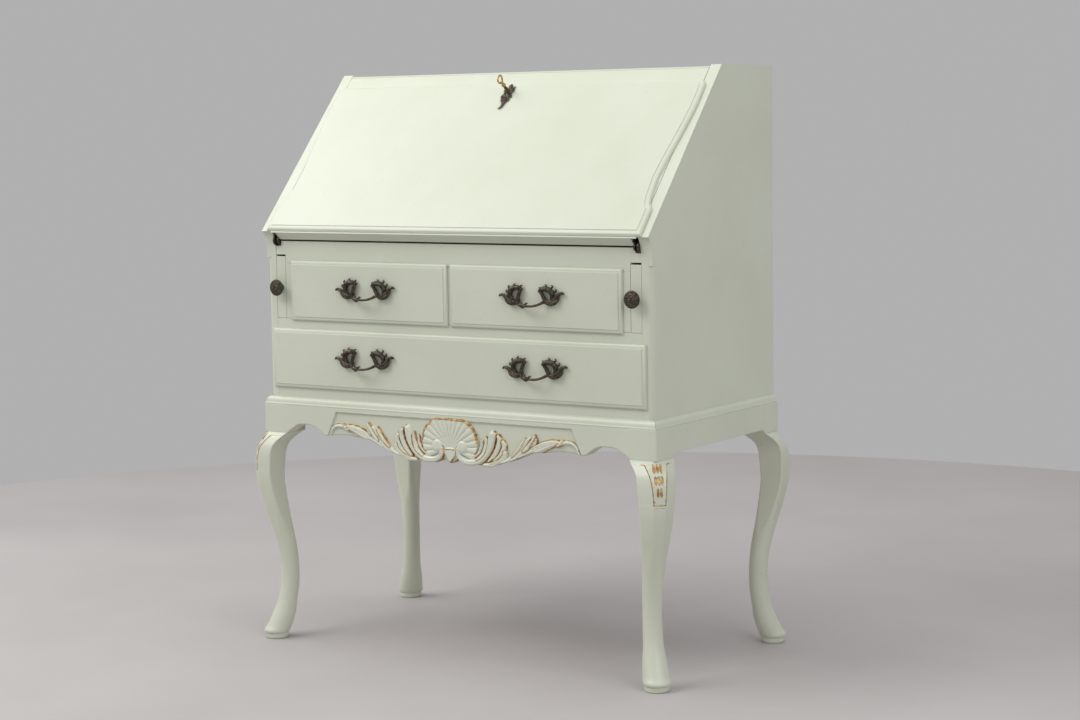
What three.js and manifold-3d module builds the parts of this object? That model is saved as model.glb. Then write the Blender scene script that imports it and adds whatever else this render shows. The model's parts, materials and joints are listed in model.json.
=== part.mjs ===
// Slant-front writing desk on a carved stand with four cabriole legs.
// Millimetres, +Z up, +X to the sitter's right, the front faces -Y.
// The origin is on the floor under the middle of the desk.
import * as THREE from 'three';
import { mergeVertices } from 'three/addons/utils/BufferGeometryUtils.js';
import Module from 'manifold-3d';

const wasm = await Module();
wasm.setup();

// ---------------------------------------------------------------- driving dimensions
const seam = 0.3; // gap between pieces that touch
const play = 0.8; // working gap round a piece that slides

// case
const caseWidth = 785;
const caseDepth = 411;
const sideThick = 20;
const caseReveal = 8; // stand shows this much in front of and beside the case
const frontRound = 10; // rounding of the case's upright front corners
const upperHeight = 289; // writing surface up to the tops of the sides
const topThick = 20;
const topSink = 3; // top board lies this far below the tops of the sides
const backThick = 8;
const bedThick = 20;

// front, from the stand upwards
const bottomRail = 35.5;
const longDrawerHeight = 94;
const middleRail = 22.5;
const smallDrawerHeight = 97;
const topRail = 40;
const railThick = 24;
const shelfThick = 12;
const partitionThick = 18; // between a small drawer and its loper
const dividerThick = 14; // between the two small drawers

// drawers
const frontProud = 6; // drawer fronts stand this far out of the case
const longOverlap = { side: 8, top: 5, bottom: 5 };
const smallOverlap = { side: 4.5, top: 5, bottom: 2.5 };
const frontMould = { width: 7, rim: 1.8 }; // moulded edge of a drawer front
const drawerWall = 10;
const drawerFloor = 6;
const drawerHeadroom = 7;
const drawerBackGap = 24;

// lopers, the boards that slide out under the open flap
const loperThick = 20;
const loperLength = 318;
const loperSideGap = 0.5;
const knobRadius = 14.5;
const knobReach = 19;

// flap
const slopeAngle = THREE.MathUtils.degToRad(48.06);
const flapThick = 21;
const fieldThick = 7; // raised field with the shaped, moulded edge
const flapSideGap = 1;
const flapLength = 362;
const tipDrop = 2.9; // the flap's lower end reaches this far below the tips of the sides
const fieldMould = 9.5;
const flapEase = 2; // bevel inside the flap's lower edge, where it turns over the rail
const coveDrop = 46; // height of the cove under the tips of the sides

// stand
const standTop = 422;
const blockHeight = 50; // square block at the head of each leg
const blockSide = 50;
const apronThick = 24;
const apronDrop = 43; // depth of the plain side and back aprons
const mouldHeight = 14;
const footPad = { radius: 20.5, height: 10 };
const footInset = 8.3; // foot centre inside the stand's corner, each way
const archSpan = 84; // arch beside each front leg
const archRise = 17;
const recessDepth = 4;
const carvingDrop = 80; // lowest carving below the stand's top

// pigeonholes inside
const inner = { height: 214, frontGap: 12, drawerHeight: 66, board: 9, bay: 224, drawerPlay: 1 };

// brassware
const pivot = { pin: 2.5, eye: 7, plate: 9, notch: 11.5, notchUp: 28, plateThick: 3.3, strapThick: 3.2 };
const lock = { width: 66, height: 56, thick: 12, toEnd: 52, bolt: 20, boltThick: 5, boltTravel: 9 };
const key = { radius: 2.6, reach: 42, bitReach: 8.5 };
const handle = { width: 129, height: 38, standOff: 16, plate: 3 };

// ---------------------------------------------------------------- derived planes
const standWidth = caseWidth + 2 * (caseReveal + 1);
const standDepth = caseDepth + caseReveal;
const standFront = -standDepth / 2;
const standBack = standDepth / 2;
const caseFront = standFront + caseReveal;
const caseBack = standBack;
const innerHalf = caseWidth / 2 - sideThick;
const fitHalf = innerHalf - seam; // boards fitted between the sides
const caseBottom = standTop + seam;

const longBottom = standTop + bottomRail;
const longTop = longBottom + longDrawerHeight;
const smallBottom = longTop + middleRail;
const smallTop = smallBottom + smallDrawerHeight;
const writingTop = smallTop + topRail;
const sideTop = writingTop + upperHeight;
const boardTop = sideTop - topSink;
const boardBottom = boardTop - topThick;
const backFace = caseBack - 2 - backThick; // inner face of the back

const hingeY = caseFront;
const railFront = caseFront + 0.5; // clears the flap's end as it turns down
const cos = Math.cos(slopeAngle);
const sin = Math.sin(slopeAngle);
const loperTop = writingTop - flapThick - fieldThick - seam;
const slotTop = loperTop + 3.2;
const loperOuter = innerHalf - loperSideGap;
const loperInner = loperOuter - loperThick;
const partitionOuter = loperInner - loperSideGap;
const partitionInner = partitionOuter - partitionThick;

/** Point at a distance up the slope from the hinge and a distance out from the flap's inner face. */
function onSlope(up, out) {
  return new THREE.Vector2(hingeY + up * cos - out * sin, writingTop + up * sin + out * cos);
}

// ---------------------------------------------------------------- materials
const finish = (color, roughness, metalness) =>
  new THREE.MeshStandardMaterial({ color, roughness, metalness });
const paint = finish(0xc9ccb8, 0.5, 0);
const gilding = finish(0xcdbf94, 0.45, 0.1);
const rawWood = finish(0xb08a5c, 0.7, 0);
const bronze = finish(0x4c4438, 0.45, 0.9);
const brass = finish(0xb08d4a, 0.35, 1);

const desk = new THREE.Group();

// ---------------------------------------------------------------- building helpers
/** A geometry as a solid that can be joined and cut. */
function solid(geometry) {
  const bare = geometry.clone();
  bare.deleteAttribute('normal');
  bare.deleteAttribute('uv');
  const merged = mergeVertices(bare, 1e-4);
  return new wasm.Manifold(new wasm.Mesh({
    numProp: 3,
    vertProperties: new Float32Array(merged.attributes.position.array),
    triVerts: new Uint32Array(merged.index.array),
  }));
}

function geometryOf(body) {
  const mesh = body.getMesh();
  const geometry = new THREE.BufferGeometry();
  geometry.setAttribute('position', new THREE.BufferAttribute(mesh.vertProperties, 3));
  geometry.setIndex(new THREE.BufferAttribute(mesh.triVerts, 1));
  return geometry;
}

function place(name, shape, material, parent = desk) {
  const geometry = shape.isBufferGeometry ? shape : geometryOf(shape);
  const mesh = new THREE.Mesh(geometry, material);
  mesh.name = name;
  parent.add(mesh);
  return mesh;
}

/** Box between two corners. */
function box([x0, y0, z0], [x1, y1, z1]) {
  const geometry = new THREE.BoxGeometry(x1 - x0, y1 - y0, z1 - z0);
  return geometry.translate((x0 + x1) / 2, (y0 + y1) / 2, (z0 + z1) / 2);
}

const blockOf = (low, high) => solid(box(low, high));

/** Outline in X and Z, pushed along Y from front to back. */
function slabY(points, front, back, curveSegments = 6) {
  const shape = points instanceof THREE.Shape
    ? points : new THREE.Shape(points.map(([x, z]) => new THREE.Vector2(x, z)));
  const options = { depth: back - front, bevelEnabled: false, curveSegments };
  const geometry = new THREE.ExtrudeGeometry(shape, options);
  return geometry.rotateX(Math.PI / 2).translate(0, back, 0);
}

/** Outline in Y and Z, pushed along X. */
function slabX(points, left, right) {
  const shape = new THREE.Shape(points.map(([y, z]) => new THREE.Vector2(y, z)));
  const geometry = new THREE.ExtrudeGeometry(shape, { depth: right - left, bevelEnabled: false });
  const turn = new THREE.Matrix4().makeBasis(
    new THREE.Vector3(0, 1, 0), new THREE.Vector3(0, 0, 1), new THREE.Vector3(1, 0, 0));
  return geometry.applyMatrix4(turn).translate(left, 0, 0);
}

/** Round bar along X, Y or Z through a point, between two places on that axis. */
function bar(axis, radius, [a, b], from, to, sides = 20) {
  const geometry = new THREE.CylinderGeometry(radius, radius, to - from, sides);
  const middle = (from + to) / 2;
  if (axis === 'x') return geometry.rotateZ(-Math.PI / 2).translate(middle, a, b);
  if (axis === 'y') return geometry.translate(a, middle, b);
  return geometry.rotateX(Math.PI / 2).translate(a, b, middle);
}

/** Closed skin over rings that hold the same number of points, with flat ends. */
function loft(rings) {
  const count = rings[0].length;
  const positions = rings.flat().flatMap((p) => [p.x, p.y, p.z]);
  const index = [];
  for (let r = 0; r + 1 < rings.length; r += 1) {
    for (let i = 0; i < count; i += 1) {
      const a = r * count + i;
      const b = r * count + ((i + 1) % count);
      index.push(a, b, b + count, a, b + count, a + count);
    }
  }
  const last = (rings.length - 1) * count;
  for (let i = 1; i + 1 < count; i += 1) {
    index.push(0, i + 1, i);
    index.push(last, last + i, last + i + 1);
  }
  const geometry = new THREE.BufferGeometry();
  geometry.setAttribute('position', new THREE.Float32BufferAttribute(positions, 3));
  geometry.setIndex(index);
  return geometry;
}

const mirrorX = (body) => body.mirror([1, 0, 0]);
const joined = (bodies) => bodies.reduce((whole, body) => whole.add(body));

/** Quarter-round arc of points from one direction to the next, about a centre. */
function arc(centre, radius, fromDeg, toDeg, steps) {
  return Array.from({ length: steps + 1 }, (_, i) => {
    const angle = THREE.MathUtils.degToRad(fromDeg + ((toDeg - fromDeg) * i) / steps);
    return [centre[0] + radius * Math.cos(angle), centre[1] + radius * Math.sin(angle)];
  });
}

// ---------------------------------------------------------------- stand: legs and feet
const legTop = standTop - blockHeight;
// Down the leg: how far its outer and inner faces lie from the foot's centre (the same across and
// from front to back), how much is taken off the outer corner and the three others, and how round
// that leaves the outer one. Heights count from the floor on a leg of this length, and stretch with it.
const legModel = 372;
const legStations = [
  { z: 372, outer: footInset, inner: footInset - blockSide, front: 0.8, other: 0.5, bend: 0.7 },
  { z: 369.5, outer: 12.5, inner: -39.5, front: 24, other: 0.8, bend: 0.85 },
  { z: 364, outer: 17.2, inner: -33, front: 27, other: 0.9, bend: 0.85 },
  { z: 357, outer: 21.5, inner: -26.3, front: 24.5, other: 1, bend: 0.35 },
  { z: 350, outer: 25, inner: -21.8, front: 22, other: 1.2, bend: 0.05 },
  { z: 340, outer: 27.4, inner: -18.8, front: 20, other: 1.3, bend: 0 },
  { z: 325, outer: 28.2, inner: -17, front: 17.5, other: 1.5, bend: 0 },
  { z: 308, outer: 27.8, inner: -16.1, front: 15.2, other: 1.6, bend: 0.05 },
  { z: 288, outer: 26.2, inner: -15.5, front: 14.8, other: 2, bend: 0.2 },
  { z: 270, outer: 23.2, inner: -16.8, front: 15.5, other: 2.6, bend: 0.45 },
  { z: 250, outer: 19, inner: -19, front: 15.5, other: 4, bend: 0.6 },
  { z: 220, outer: 11.7, inner: -23.3, front: 13, other: 8, bend: 0.7 },
  { z: 190, outer: 5.6, inner: -29.6, front: 17, other: 17, bend: 0.7 },
  { z: 160, outer: 0.3, inner: -32.9, front: 16.4, other: 16.4, bend: 0.7 },
  { z: 130, outer: -2.4, inner: -34.4, front: 15.8, other: 15.8, bend: 0.7 },
  { z: 98, outer: -2, inner: -34, front: 15.8, other: 15.8, bend: 0.7 },
  { z: 66, outer: 3.3, inner: -31.3, front: 17.1, other: 17.1, bend: 0.7 },
  { z: 42, outer: 11.2, inner: -29.6, front: 20.2, other: 20.2, bend: 0.7 },
  { z: 22, outer: 18.8, inner: -25.4, front: 21.9, other: 21.9, bend: 0.7 },
  { z: footPad.height, outer: 23.3, inner: -22.1, front: 22.5, other: 22.5, bend: 0.7 },
];

/** One level of the leg: a square along X and Y with its corners eased, the outer one the most. */
function legRing({ outer, inner, front, other, bend }) {
  const half = (outer - inner) / 2;
  const centre = (outer + inner) / 2;
  const steps = 3;
  const corners = [
    { x: 1, y: -1, cut: front, weight: bend },
    { x: 1, y: 1, cut: other, weight: 0.7 },
    { x: -1, y: 1, cut: other, weight: 0.7 },
    { x: -1, y: -1, cut: other, weight: 0.7 },
  ];
  return corners.flatMap(({ x, y, cut, weight }) => {
    const tip = new THREE.Vector2(x, y).multiplyScalar(half);
    const alongY = new THREE.Vector2(tip.x, tip.y - y * cut);
    const alongX = new THREE.Vector2(tip.x - x * cut, tip.y);
    const [from, to] = x * y < 0 ? [alongX, alongY] : [alongY, alongX];
    return Array.from({ length: steps + 1 }, (_, i) => {
      const t = i / steps;
      const [a, b, c] = [(1 - t) ** 2, 2 * t * (1 - t) * weight, t ** 2];
      const px = (from.x * a + tip.x * b + to.x * c) / (a + b + c);
      const py = (from.y * a + tip.y * b + to.y * c) / (a + b + c);
      return new THREE.Vector2(centre + px, py - centre);
    });
  });
}

/** Leg of the front right corner, its foot's centre on the origin. */
function legBody() {
  const stretch = (z) => footPad.height
    + ((z - footPad.height) * (legTop - footPad.height)) / (legModel - footPad.height);
  const rings = legStations.map((station) =>
    legRing(station).map((p) => new THREE.Vector3(p.x, p.y, stretch(station.z)))).reverse();
  const block = rings.at(-1).map((p) => new THREE.Vector3(p.x, p.y, standTop));
  return solid(loft([...rings, block]));
}

const footX = standWidth / 2 - footInset;
const footY = standDepth / 2 - footInset;
const padProfile = (({ radius, height }) => [[0, 0], [radius - 1.5, 0], [radius, 2],
  [radius, height - 1], [radius - 1, height + 0.6], [0, height + 0.6]])(footPad);
const padBody = solid(new THREE.LatheGeometry(padProfile.map(([x, y]) => new THREE.Vector2(x, y)), 20)
  .rotateX(Math.PI / 2));
for (const [name, sx, sy] of [
  ['front_left', -1, -1], ['front_right', 1, -1], ['back_left', -1, 1], ['back_right', 1, 1]]) {
  let leg = legBody().add(padBody);
  if (sx < 0) leg = leg.mirror([1, 0, 0]);
  if (sy > 0) leg = leg.mirror([0, 1, 0]);
  place(`leg_${name}`, leg.translate([sx * footX, sy * footY, 0]), paint);
}

// ---------------------------------------------------------------- stand: aprons and moulding
const apronTop = standTop;
const apronHalf = standWidth / 2 - blockSide - seam;
const archIn = apronHalf - archSpan;
const carvingHalf = archIn - 4;
const recessHalf = archIn - 28;

/** Lower edge of the front apron from the middle to the leg: carved scallops, a cusp, then an arch. */
function frontApronOutline() {
  const cusps = [
    [0, 5], [0.085, 8], [0.37, 8.5], [0.47, 21], [0.66, 30], [0.83, 34.5], [0.94, 33.5], [1, 30.5],
  ];
  const bellies = [5, 10, 3, 4, 5, 2.5, 2];
  const low = apronTop - carvingDrop;
  const shape = new THREE.Shape();
  const side = (sign) => {
    const at = ([share, rise]) => [sign * share * carvingHalf, low + rise];
    const steps = cusps.slice(1).map((cusp, i) => ({ from: at(cusps[i]), to: at(cusp), belly: bellies[i] }));
    return steps;
  };
  const arch = archIn + archSpan * 0.5;
  const crown = apronTop - blockHeight + archRise;
  shape.moveTo(apronHalf, apronTop);
  shape.lineTo(apronHalf, apronTop - blockHeight);
  shape.quadraticCurveTo(apronHalf - 12, crown, arch, crown);
  shape.quadraticCurveTo(archIn + 14, crown, archIn, low + cusps.at(-1)[1]);
  for (const { from, to, belly } of side(1).reverse()) {
    shape.quadraticCurveTo((from[0] + to[0]) / 2, (from[1] + to[1]) / 2 - 2 * belly, from[0], from[1]);
  }
  for (const { from, to, belly } of side(-1)) {
    shape.quadraticCurveTo((from[0] + to[0]) / 2, (from[1] + to[1]) / 2 - 2 * belly, to[0], to[1]);
  }
  shape.lineTo(-archIn, low + cusps.at(-1)[1]);
  shape.quadraticCurveTo(-archIn - 14, crown, -arch, crown);
  shape.quadraticCurveTo(-apronHalf + 12, crown, -apronHalf, apronTop - blockHeight);
  shape.lineTo(-apronHalf, apronTop);
  return shape;
}

/** Domed petal: an oval boss, longer along its own axis, turned in the plane of the front. */
function petal([x, z], length, width, height, turnDeg) {
  const boss = new THREE.SphereGeometry(1, 8, 6).scale(length / 2, height, width / 2);
  boss.rotateY(-THREE.MathUtils.degToRad(turnDeg));
  return solid(boss.translate(x, standFront + recessDepth, z));
}

/** Relief of the front apron: a fan shell over two scrolls, and leaves running out to the sides. */
function carving() {
  const middle = apronTop - 50;
  const lobes = 7;
  const shell = Array.from({ length: lobes }, (_, i) => {
    const angle = 90 + (i - (lobes - 1) / 2) * 24;
    const reach = 25;
    const rad = THREE.MathUtils.degToRad(angle);
    return petal([reach * Math.cos(rad), middle + reach * 0.72 * Math.sin(rad)], 40, 14, 6.5, angle);
  });
  const rightSide = [
    solid(bar('y', 10.5, [26, middle - 2], standFront - 2.5, standFront + recessDepth + 1, 14)),
    petal([52, middle + 2], 44, 13, 6.5, 58),
    petal([66, middle - 18], 46, 18, 6.5, 12),
    petal([0.36 * carvingHalf, middle + 16], 46, 13, 6.5, 78),
    petal([0.4 * carvingHalf, middle - 8], 44, 14, 6.5, 60),
    petal([0.52 * carvingHalf, middle + 12], 50, 12, 6, 42),
    petal([0.62 * carvingHalf, middle + 14], 52, 12, 6, 36),
    petal([0.72 * carvingHalf, middle + 6], 56, 11, 5.5, 14),
    petal([0.86 * carvingHalf, middle + 10], 46, 10, 5, 4),
  ];
  const pendant = petal([0, middle - 22], 26, 14, 6, 90);
  return joined([...shell, ...rightSide, ...rightSide.map(mirrorX), pendant]);
}

function frontApron() {
  const board = solid(slabY(frontApronOutline(), standFront, standFront + apronThick, 5));
  const top = apronTop - 7;
  const ground = slabY([
    [-recessHalf, top], [-recessHalf - 13, top - 30], [-recessHalf - 13, top - 90],
    [recessHalf + 13, top - 90], [recessHalf + 13, top - 30], [recessHalf, top],
  ], standFront - 20, standFront + recessDepth);
  const limit = slabY(frontApronOutline(), standFront - 20, standFront + apronThick - 2, 5);
  const relief = carving().intersect(solid(limit));
  return board.subtract(solid(ground)).add(relief);
}
place('front_apron', frontApron(), gilding);

function plainApron(length, thick) {
  const low = apronTop - apronDrop;
  const ear = 12;
  const half = length / 2;
  const shape = new THREE.Shape();
  shape.moveTo(half, apronTop);
  shape.lineTo(half, apronTop - blockHeight);
  shape.quadraticCurveTo(half - 3, low, half - ear, low);
  shape.lineTo(-half + ear, low);
  shape.quadraticCurveTo(-half + 3, low, -half, apronTop - blockHeight);
  shape.lineTo(-half, apronTop);
  return slabY(shape, -thick / 2, thick / 2);
}
place('back_apron', plainApron(2 * apronHalf, apronThick)
  .translate(0, standBack - apronThick / 2, 0), paint);
const sideApronLength = standDepth - 2 * (blockSide + seam);
for (const [name, sign] of [['left', -1], ['right', 1]]) {
  const apron = plainApron(sideApronLength, apronThick).rotateZ(Math.PI / 2);
  place(`side_apron_${name}`, apron.translate(sign * (standWidth / 2 - apronThick / 2), 0, 0), paint);
}

/** Moulding section: distance out from the case, and height above the stand's top. */
function mouldingSection(reach) {
  const round = reach - 1.6;
  const rise = mouldHeight - 4.5;
  const steps = 4;
  const curve = Array.from({ length: steps }, (_, i) => {
    const angle = (Math.PI / 2) * (i / steps);
    return [round * Math.cos(angle), 3.6 + rise * Math.sin(angle)];
  });
  return [[0, 0], [reach, 0], [reach, 2.6], ...curve, [0, mouldHeight]];
}

/** Straight moulding along X, its back on y = 0, the ends mitred outwards where asked. */
function mouldingStrip(left, right, reach, mitreLeft, mitreRight) {
  const section = mouldingSection(reach);
  const end = (x, lean) => section.map(([out, z]) => new THREE.Vector3(x + lean * out, -out, z));
  return loft([end(left, mitreLeft ? -1 : 0), end(right, mitreRight ? 1 : 0)].map((ring) => ring.reverse()));
}
const mouldBase = standTop + seam;
const caseHalf = caseWidth / 2;
const sideReach = standWidth / 2 - caseHalf - seam;
const frontReach = caseFront - standFront - seam;
const mouldReach = Math.min(sideReach, frontReach);
const mitreGap = 0.25;
place('moulding_front', mouldingStrip(
  -caseHalf - seam + mitreGap, caseHalf + seam - mitreGap, mouldReach, true, true)
  .translate(0, caseFront - seam, mouldBase), paint);
for (const [name, sign] of [['left', -1], ['right', 1]]) {
  const start = caseFront - seam + mitreGap;
  const strip = sign > 0
    ? mouldingStrip(start, caseBack, mouldReach, true, false).rotateZ(Math.PI / 2)
    : mouldingStrip(-caseBack, -start, mouldReach, false, true).rotateZ(-Math.PI / 2);
  place(`moulding_${name}`, strip.translate(sign * (caseHalf + seam), 0, mouldBase), paint);
}

// ---------------------------------------------------------------- case
const slopeFoot = onSlope(tipDrop, flapThick); // forward tip of each side
const slopeHead = onSlope((sideTop - writingTop - flapThick * cos) / sin, flapThick);

/** Side: upright back, short top, long slope, and a cove under the forward tip. */
function sideProfile() {
  const coveDepth = caseFront - slopeFoot.x;
  const cove = Array.from({ length: 7 }, (_, i) => {
    const t = i / 6;
    const angle = (Math.PI / 2) * t;
    return [slopeFoot.x + coveDepth * Math.sin(angle), slopeFoot.y - coveDrop * (1 - Math.cos(angle))];
  });
  return [[caseFront, caseBottom], [caseBack, caseBottom], [caseBack, sideTop],
    [slopeHead.x, slopeHead.y], ...cove.slice(0, -1), [caseFront, slopeFoot.y - coveDrop]].reverse();
}

/** Cutter that rounds the upright front corner of the right-hand side. */
function cornerRound() {
  const x = caseHalf - frontRound;
  const y = caseFront + frontRound;
  const outline = [[caseHalf + 5, caseFront - 5], [caseHalf + 5, y],
    ...arc([x, y], frontRound, 0, -90, 6), [x, caseFront - 5]];
  const shape = new THREE.Shape(outline.map(([a, b]) => new THREE.Vector2(a, b)));
  const length = slopeFoot.y - coveDrop - standTop;
  return solid(new THREE.ExtrudeGeometry(shape, { depth: length, bevelEnabled: false })
    .translate(0, 0, standTop));
}
const sideRight = solid(slabX(sideProfile(), innerHalf, caseHalf)).subtract(cornerRound());
place('side_right', sideRight, paint);
place('side_left', mirrorX(sideRight), paint);

// top board, its front cut to clear the end of the flap
const endGap = 0.8;
const boardFrontLow = hingeY + ((flapLength + endGap) - (boardBottom - writingTop) * sin) / cos;
const lipTop = onSlope(flapLength + endGap, flapThick);
const boardFrontHigh = hingeY + (boardTop - writingTop) * (cos / sin) - flapThick / sin;
const strike = { half: 20, low: 1, high: 10, thick: 1.6, bore: 11 };
const boltSlot = { half: lock.bolt / 2 + 0.8, low: 2.4, high: 3.6 + lock.boltThick };

/** Box given in the flap's closed frame (across, up the slope, out of the face), set in the desk. */
function inSlopeFrame(low, high) {
  const turned = blockOf(low, high).rotate([THREE.MathUtils.radToDeg(slopeAngle), 0, 0]);
  return turned.translate([0, hingeY, writingTop]);
}
const strikeUp = flapLength + endGap;
const boltHole = inSlopeFrame([-boltSlot.half, strikeUp - 2, boltSlot.low],
  [boltSlot.half, strikeUp + strike.bore, boltSlot.high]);
place('top_board', solid(slabX([
  [boardFrontLow, boardBottom], [caseBack, boardBottom], [caseBack, boardTop],
  [boardFrontHigh, boardTop], [lipTop.x, lipTop.y]], -fitHalf, fitHalf))
  .subtract(inSlopeFrame([-strike.half - 0.3, strikeUp - 2, strike.low - 0.3],
    [strike.half + 0.3, strikeUp + strike.thick + 0.3, strike.high + 0.3]))
  .subtract(boltHole), paint);
place('strike_plate', inSlopeFrame([-strike.half, strikeUp, strike.low],
  [strike.half, strikeUp + strike.thick, strike.high]).subtract(boltHole), brass);
place('back_panel', box([-fitHalf, backFace, caseBottom],
  [fitHalf, backFace + backThick, boardBottom - seam]), rawWood);

const shelfFront = railFront + railThick + seam;
const insideBack = backFace - seam;
const railBack = caseFront + railThick;
place('bottom_rail', box([-fitHalf, caseFront, caseBottom], [fitHalf, railBack, longBottom]), paint);
place('bottom_board', box([-fitHalf, shelfFront, longBottom - shelfThick],
  [fitHalf, insideBack, longBottom]), rawWood);
place('middle_rail', box([-fitHalf, caseFront, longTop], [fitHalf, railBack, smallBottom]), paint);
place('dust_board', box([-fitHalf, shelfFront, smallBottom - shelfThick],
  [fitHalf, insideBack, smallBottom]), rawWood);
place('centre_divider', box([-dividerThick / 2, caseFront, smallBottom + seam],
  [dividerThick / 2, insideBack, smallTop - seam]), paint);
for (const [name, sign] of [['left', -1], ['right', 1]]) {
  const xs = [sign * partitionInner, sign * partitionOuter].sort((a, b) => a - b);
  place(`loper_partition_${name}`, box([xs[0], caseFront, smallBottom + seam],
    [xs[1], insideBack, smallTop - seam]), paint);
}

/** Round clearance about the hinge line at one end of the flap. */
function pivotClearance(sign, radius, reach) {
  const ends = [innerHalf - pivot.notch, innerHalf - pivot.notch + reach];
  return sign > 0
    ? solid(bar('x', radius, [hingeY, writingTop], ends[0], ends[1], 32))
    : solid(bar('x', radius, [hingeY, writingTop], -ends[1], -ends[0], 32));
}

// top rail, notched over the lopers and round the pivots; the writing board behind it
const plateTail = { back: 40, low: 8.5, high: 1 };
function plateRebate(sign) {
  const xs = [sign * (innerHalf - pivot.plateThick - 2 * seam), sign * (innerHalf + 1)];
  xs.sort((a, b) => a - b);
  return blockOf([xs[0], hingeY, writingTop - plateTail.low - seam],
    [xs[1], hingeY + plateTail.back + seam, writingTop + 1]);
}
function topRailBody() {
  const outline = [[-fitHalf, slotTop], [-partitionOuter, slotTop], [-partitionOuter, smallTop],
    [partitionOuter, smallTop], [partitionOuter, slotTop], [fitHalf, slotTop],
    [fitHalf, writingTop], [-fitHalf, writingTop]];
  let rail = solid(slabY(outline, railFront, railFront + railThick));
  for (const sign of [-1, 1]) {
    rail = rail.subtract(pivotClearance(sign, pivot.plate + 1, pivot.notch + 2)).subtract(plateRebate(sign));
  }
  return rail;
}
place('top_rail', topRailBody(), paint);
let bed = blockOf([-fitHalf, shelfFront, writingTop - bedThick], [fitHalf, insideBack, writingTop]);
for (const sign of [-1, 1]) bed = bed.subtract(plateRebate(sign));
place('writing_bed', bed, paint);

// ---------------------------------------------------------------- drawers
/** Stepped rings of a moulded front: a plain rim, a rounded edge, then the flat field. */
function mouldedFront([x0, z0], [x1, z1], back, proud, mould) {
  const levels = [{ inset: 0, out: 0 }, { inset: 0, out: mould.rim }, { inset: 0.8, out: mould.rim + 0.5 }];
  const turns = 4;
  for (let i = 1; i <= turns; i += 1) {
    const angle = (Math.PI / 2) * (i / turns);
    levels.push({
      inset: 0.8 + (mould.width - 1.6) * (1 - Math.cos(angle)),
      out: mould.rim + 0.5 + (proud - mould.rim - 1.7) * Math.sin(angle),
    });
  }
  levels.push({ inset: mould.width - 0.6, out: proud - 1.2 }, { inset: mould.width, out: proud });
  return loft(levels.map(({ inset, out }) => [
    new THREE.Vector3(x0 + inset, back - out, z0 + inset),
    new THREE.Vector3(x1 - inset, back - out, z0 + inset),
    new THREE.Vector3(x1 - inset, back - out, z1 - inset),
    new THREE.Vector3(x0 + inset, back - out, z1 - inset),
  ]));
}

/** Open tray between two corners. */
function tray([x0, y0, z0], [x1, y1, z1], wall, floor) {
  return blockOf([x0, y0, z0], [x1, y1, z1])
    .subtract(blockOf([x0 + wall, y0 + wall, z0 + floor], [x1 - wall, y1 - wall, z1 + 1]));
}

/** One scroll of a handle: a domed ring of leaf with an outer curl, lying on the drawer front. */
function handleScroll() {
  const face = handle.plate;
  const dome = [[0, 0], [11, 0], [11, 2], [8.5, 5], [5, 6], [0, 6.4]];
  const ring = solid(new THREE.LatheGeometry(dome.map(([x, y]) => new THREE.Vector2(x, y)), 14)
    .rotateX(Math.PI).scale(1.15, 1, 1.15).translate(29, 0, 5));
  const leaf = new THREE.Shape();
  leaf.moveTo(26, -4);
  leaf.quadraticCurveTo(32, -14, 43, -12);
  leaf.quadraticCurveTo(55, -8, 54, 2);
  leaf.quadraticCurveTo(57, 6, handle.width / 2, 6);
  leaf.quadraticCurveTo(handle.width / 2 - 4, 12, 54, 11);
  leaf.quadraticCurveTo(46, 8, 44, 2);
  return ring.add(solid(slabY(leaf, -face, 0, 3)));
}

/** Drawer handle: two scrolls on the front, and a bow that hangs and stands off between them. */
function handleBody() {
  const out = handle.standOff;
  const low = 3 - handle.height / 2;
  const bow = new THREE.CatmullRomCurve3([
    [-31, -1.5, -4], [-26, -out * 0.62, -8], [-14, -out, low + 1.5],
    [14, -out, low + 1.5], [26, -out * 0.62, -8], [31, -1.5, -4],
  ].map((p) => new THREE.Vector3(...p)));
  const round = new THREE.Shape(Array.from({ length: 6 }, (_, i) =>
    new THREE.Vector2(2.4 * Math.cos((i * Math.PI) / 3), 2.4 * Math.sin((i * Math.PI) / 3))));
  const grip = solid(new THREE.ExtrudeGeometry(round, { steps: 12, extrudePath: bow, bevelEnabled: false }));
  const clasp = solid(new THREE.SphereGeometry(1, 8, 5).scale(9, 3, 4.2).translate(-9, 1 - out, low + 1.5));
  const scroll = handleScroll();
  return joined([grip, clasp, scroll, mirrorX(scroll)]);
}

/** A drawer: its front laps over the case, its tray runs in the opening. */
function drawer(name, [x0, x1], [z0, z1], lap, handles) {
  const [left, right] = lap.sides;
  const back = caseFront - seam;
  const face = [x0 - left, z0 - lap.bottom];
  const far = [x1 + right, z1 + lap.top];
  const panel = mouldedFront(face, far, back, frontProud - seam, frontMould);
  const tongue = box([x0 + play, back - 1, z0 + play], [x1 - play, caseFront + 12, z1 - play]);
  place(`${name}_front`, solid(panel).add(solid(tongue)), paint);
  place(`${name}_box`, tray([x0 + play, caseFront + 12 + seam, z0 + play],
    [x1 - play, backFace - drawerBackGap, z1 - drawerHeadroom], drawerWall, drawerFloor), rawWood);
  const middle = (face[1] + far[1]) / 2 + 4;
  handles.forEach(([label, x]) => {
    const grip = handleBody().translate([x, caseFront - frontProud - seam, middle]);
    place(label, grip, bronze);
  });
}
const handleInset = (innerHalf + dividerThick / 2 - (innerHalf - partitionInner)) / 2;
drawer('small_drawer_left', [-partitionInner, -dividerThick / 2], [smallBottom, smallTop],
  { sides: [smallOverlap.side, 4], top: smallOverlap.top, bottom: smallOverlap.bottom },
  [['handle_upper_left', -handleInset]]);
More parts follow.
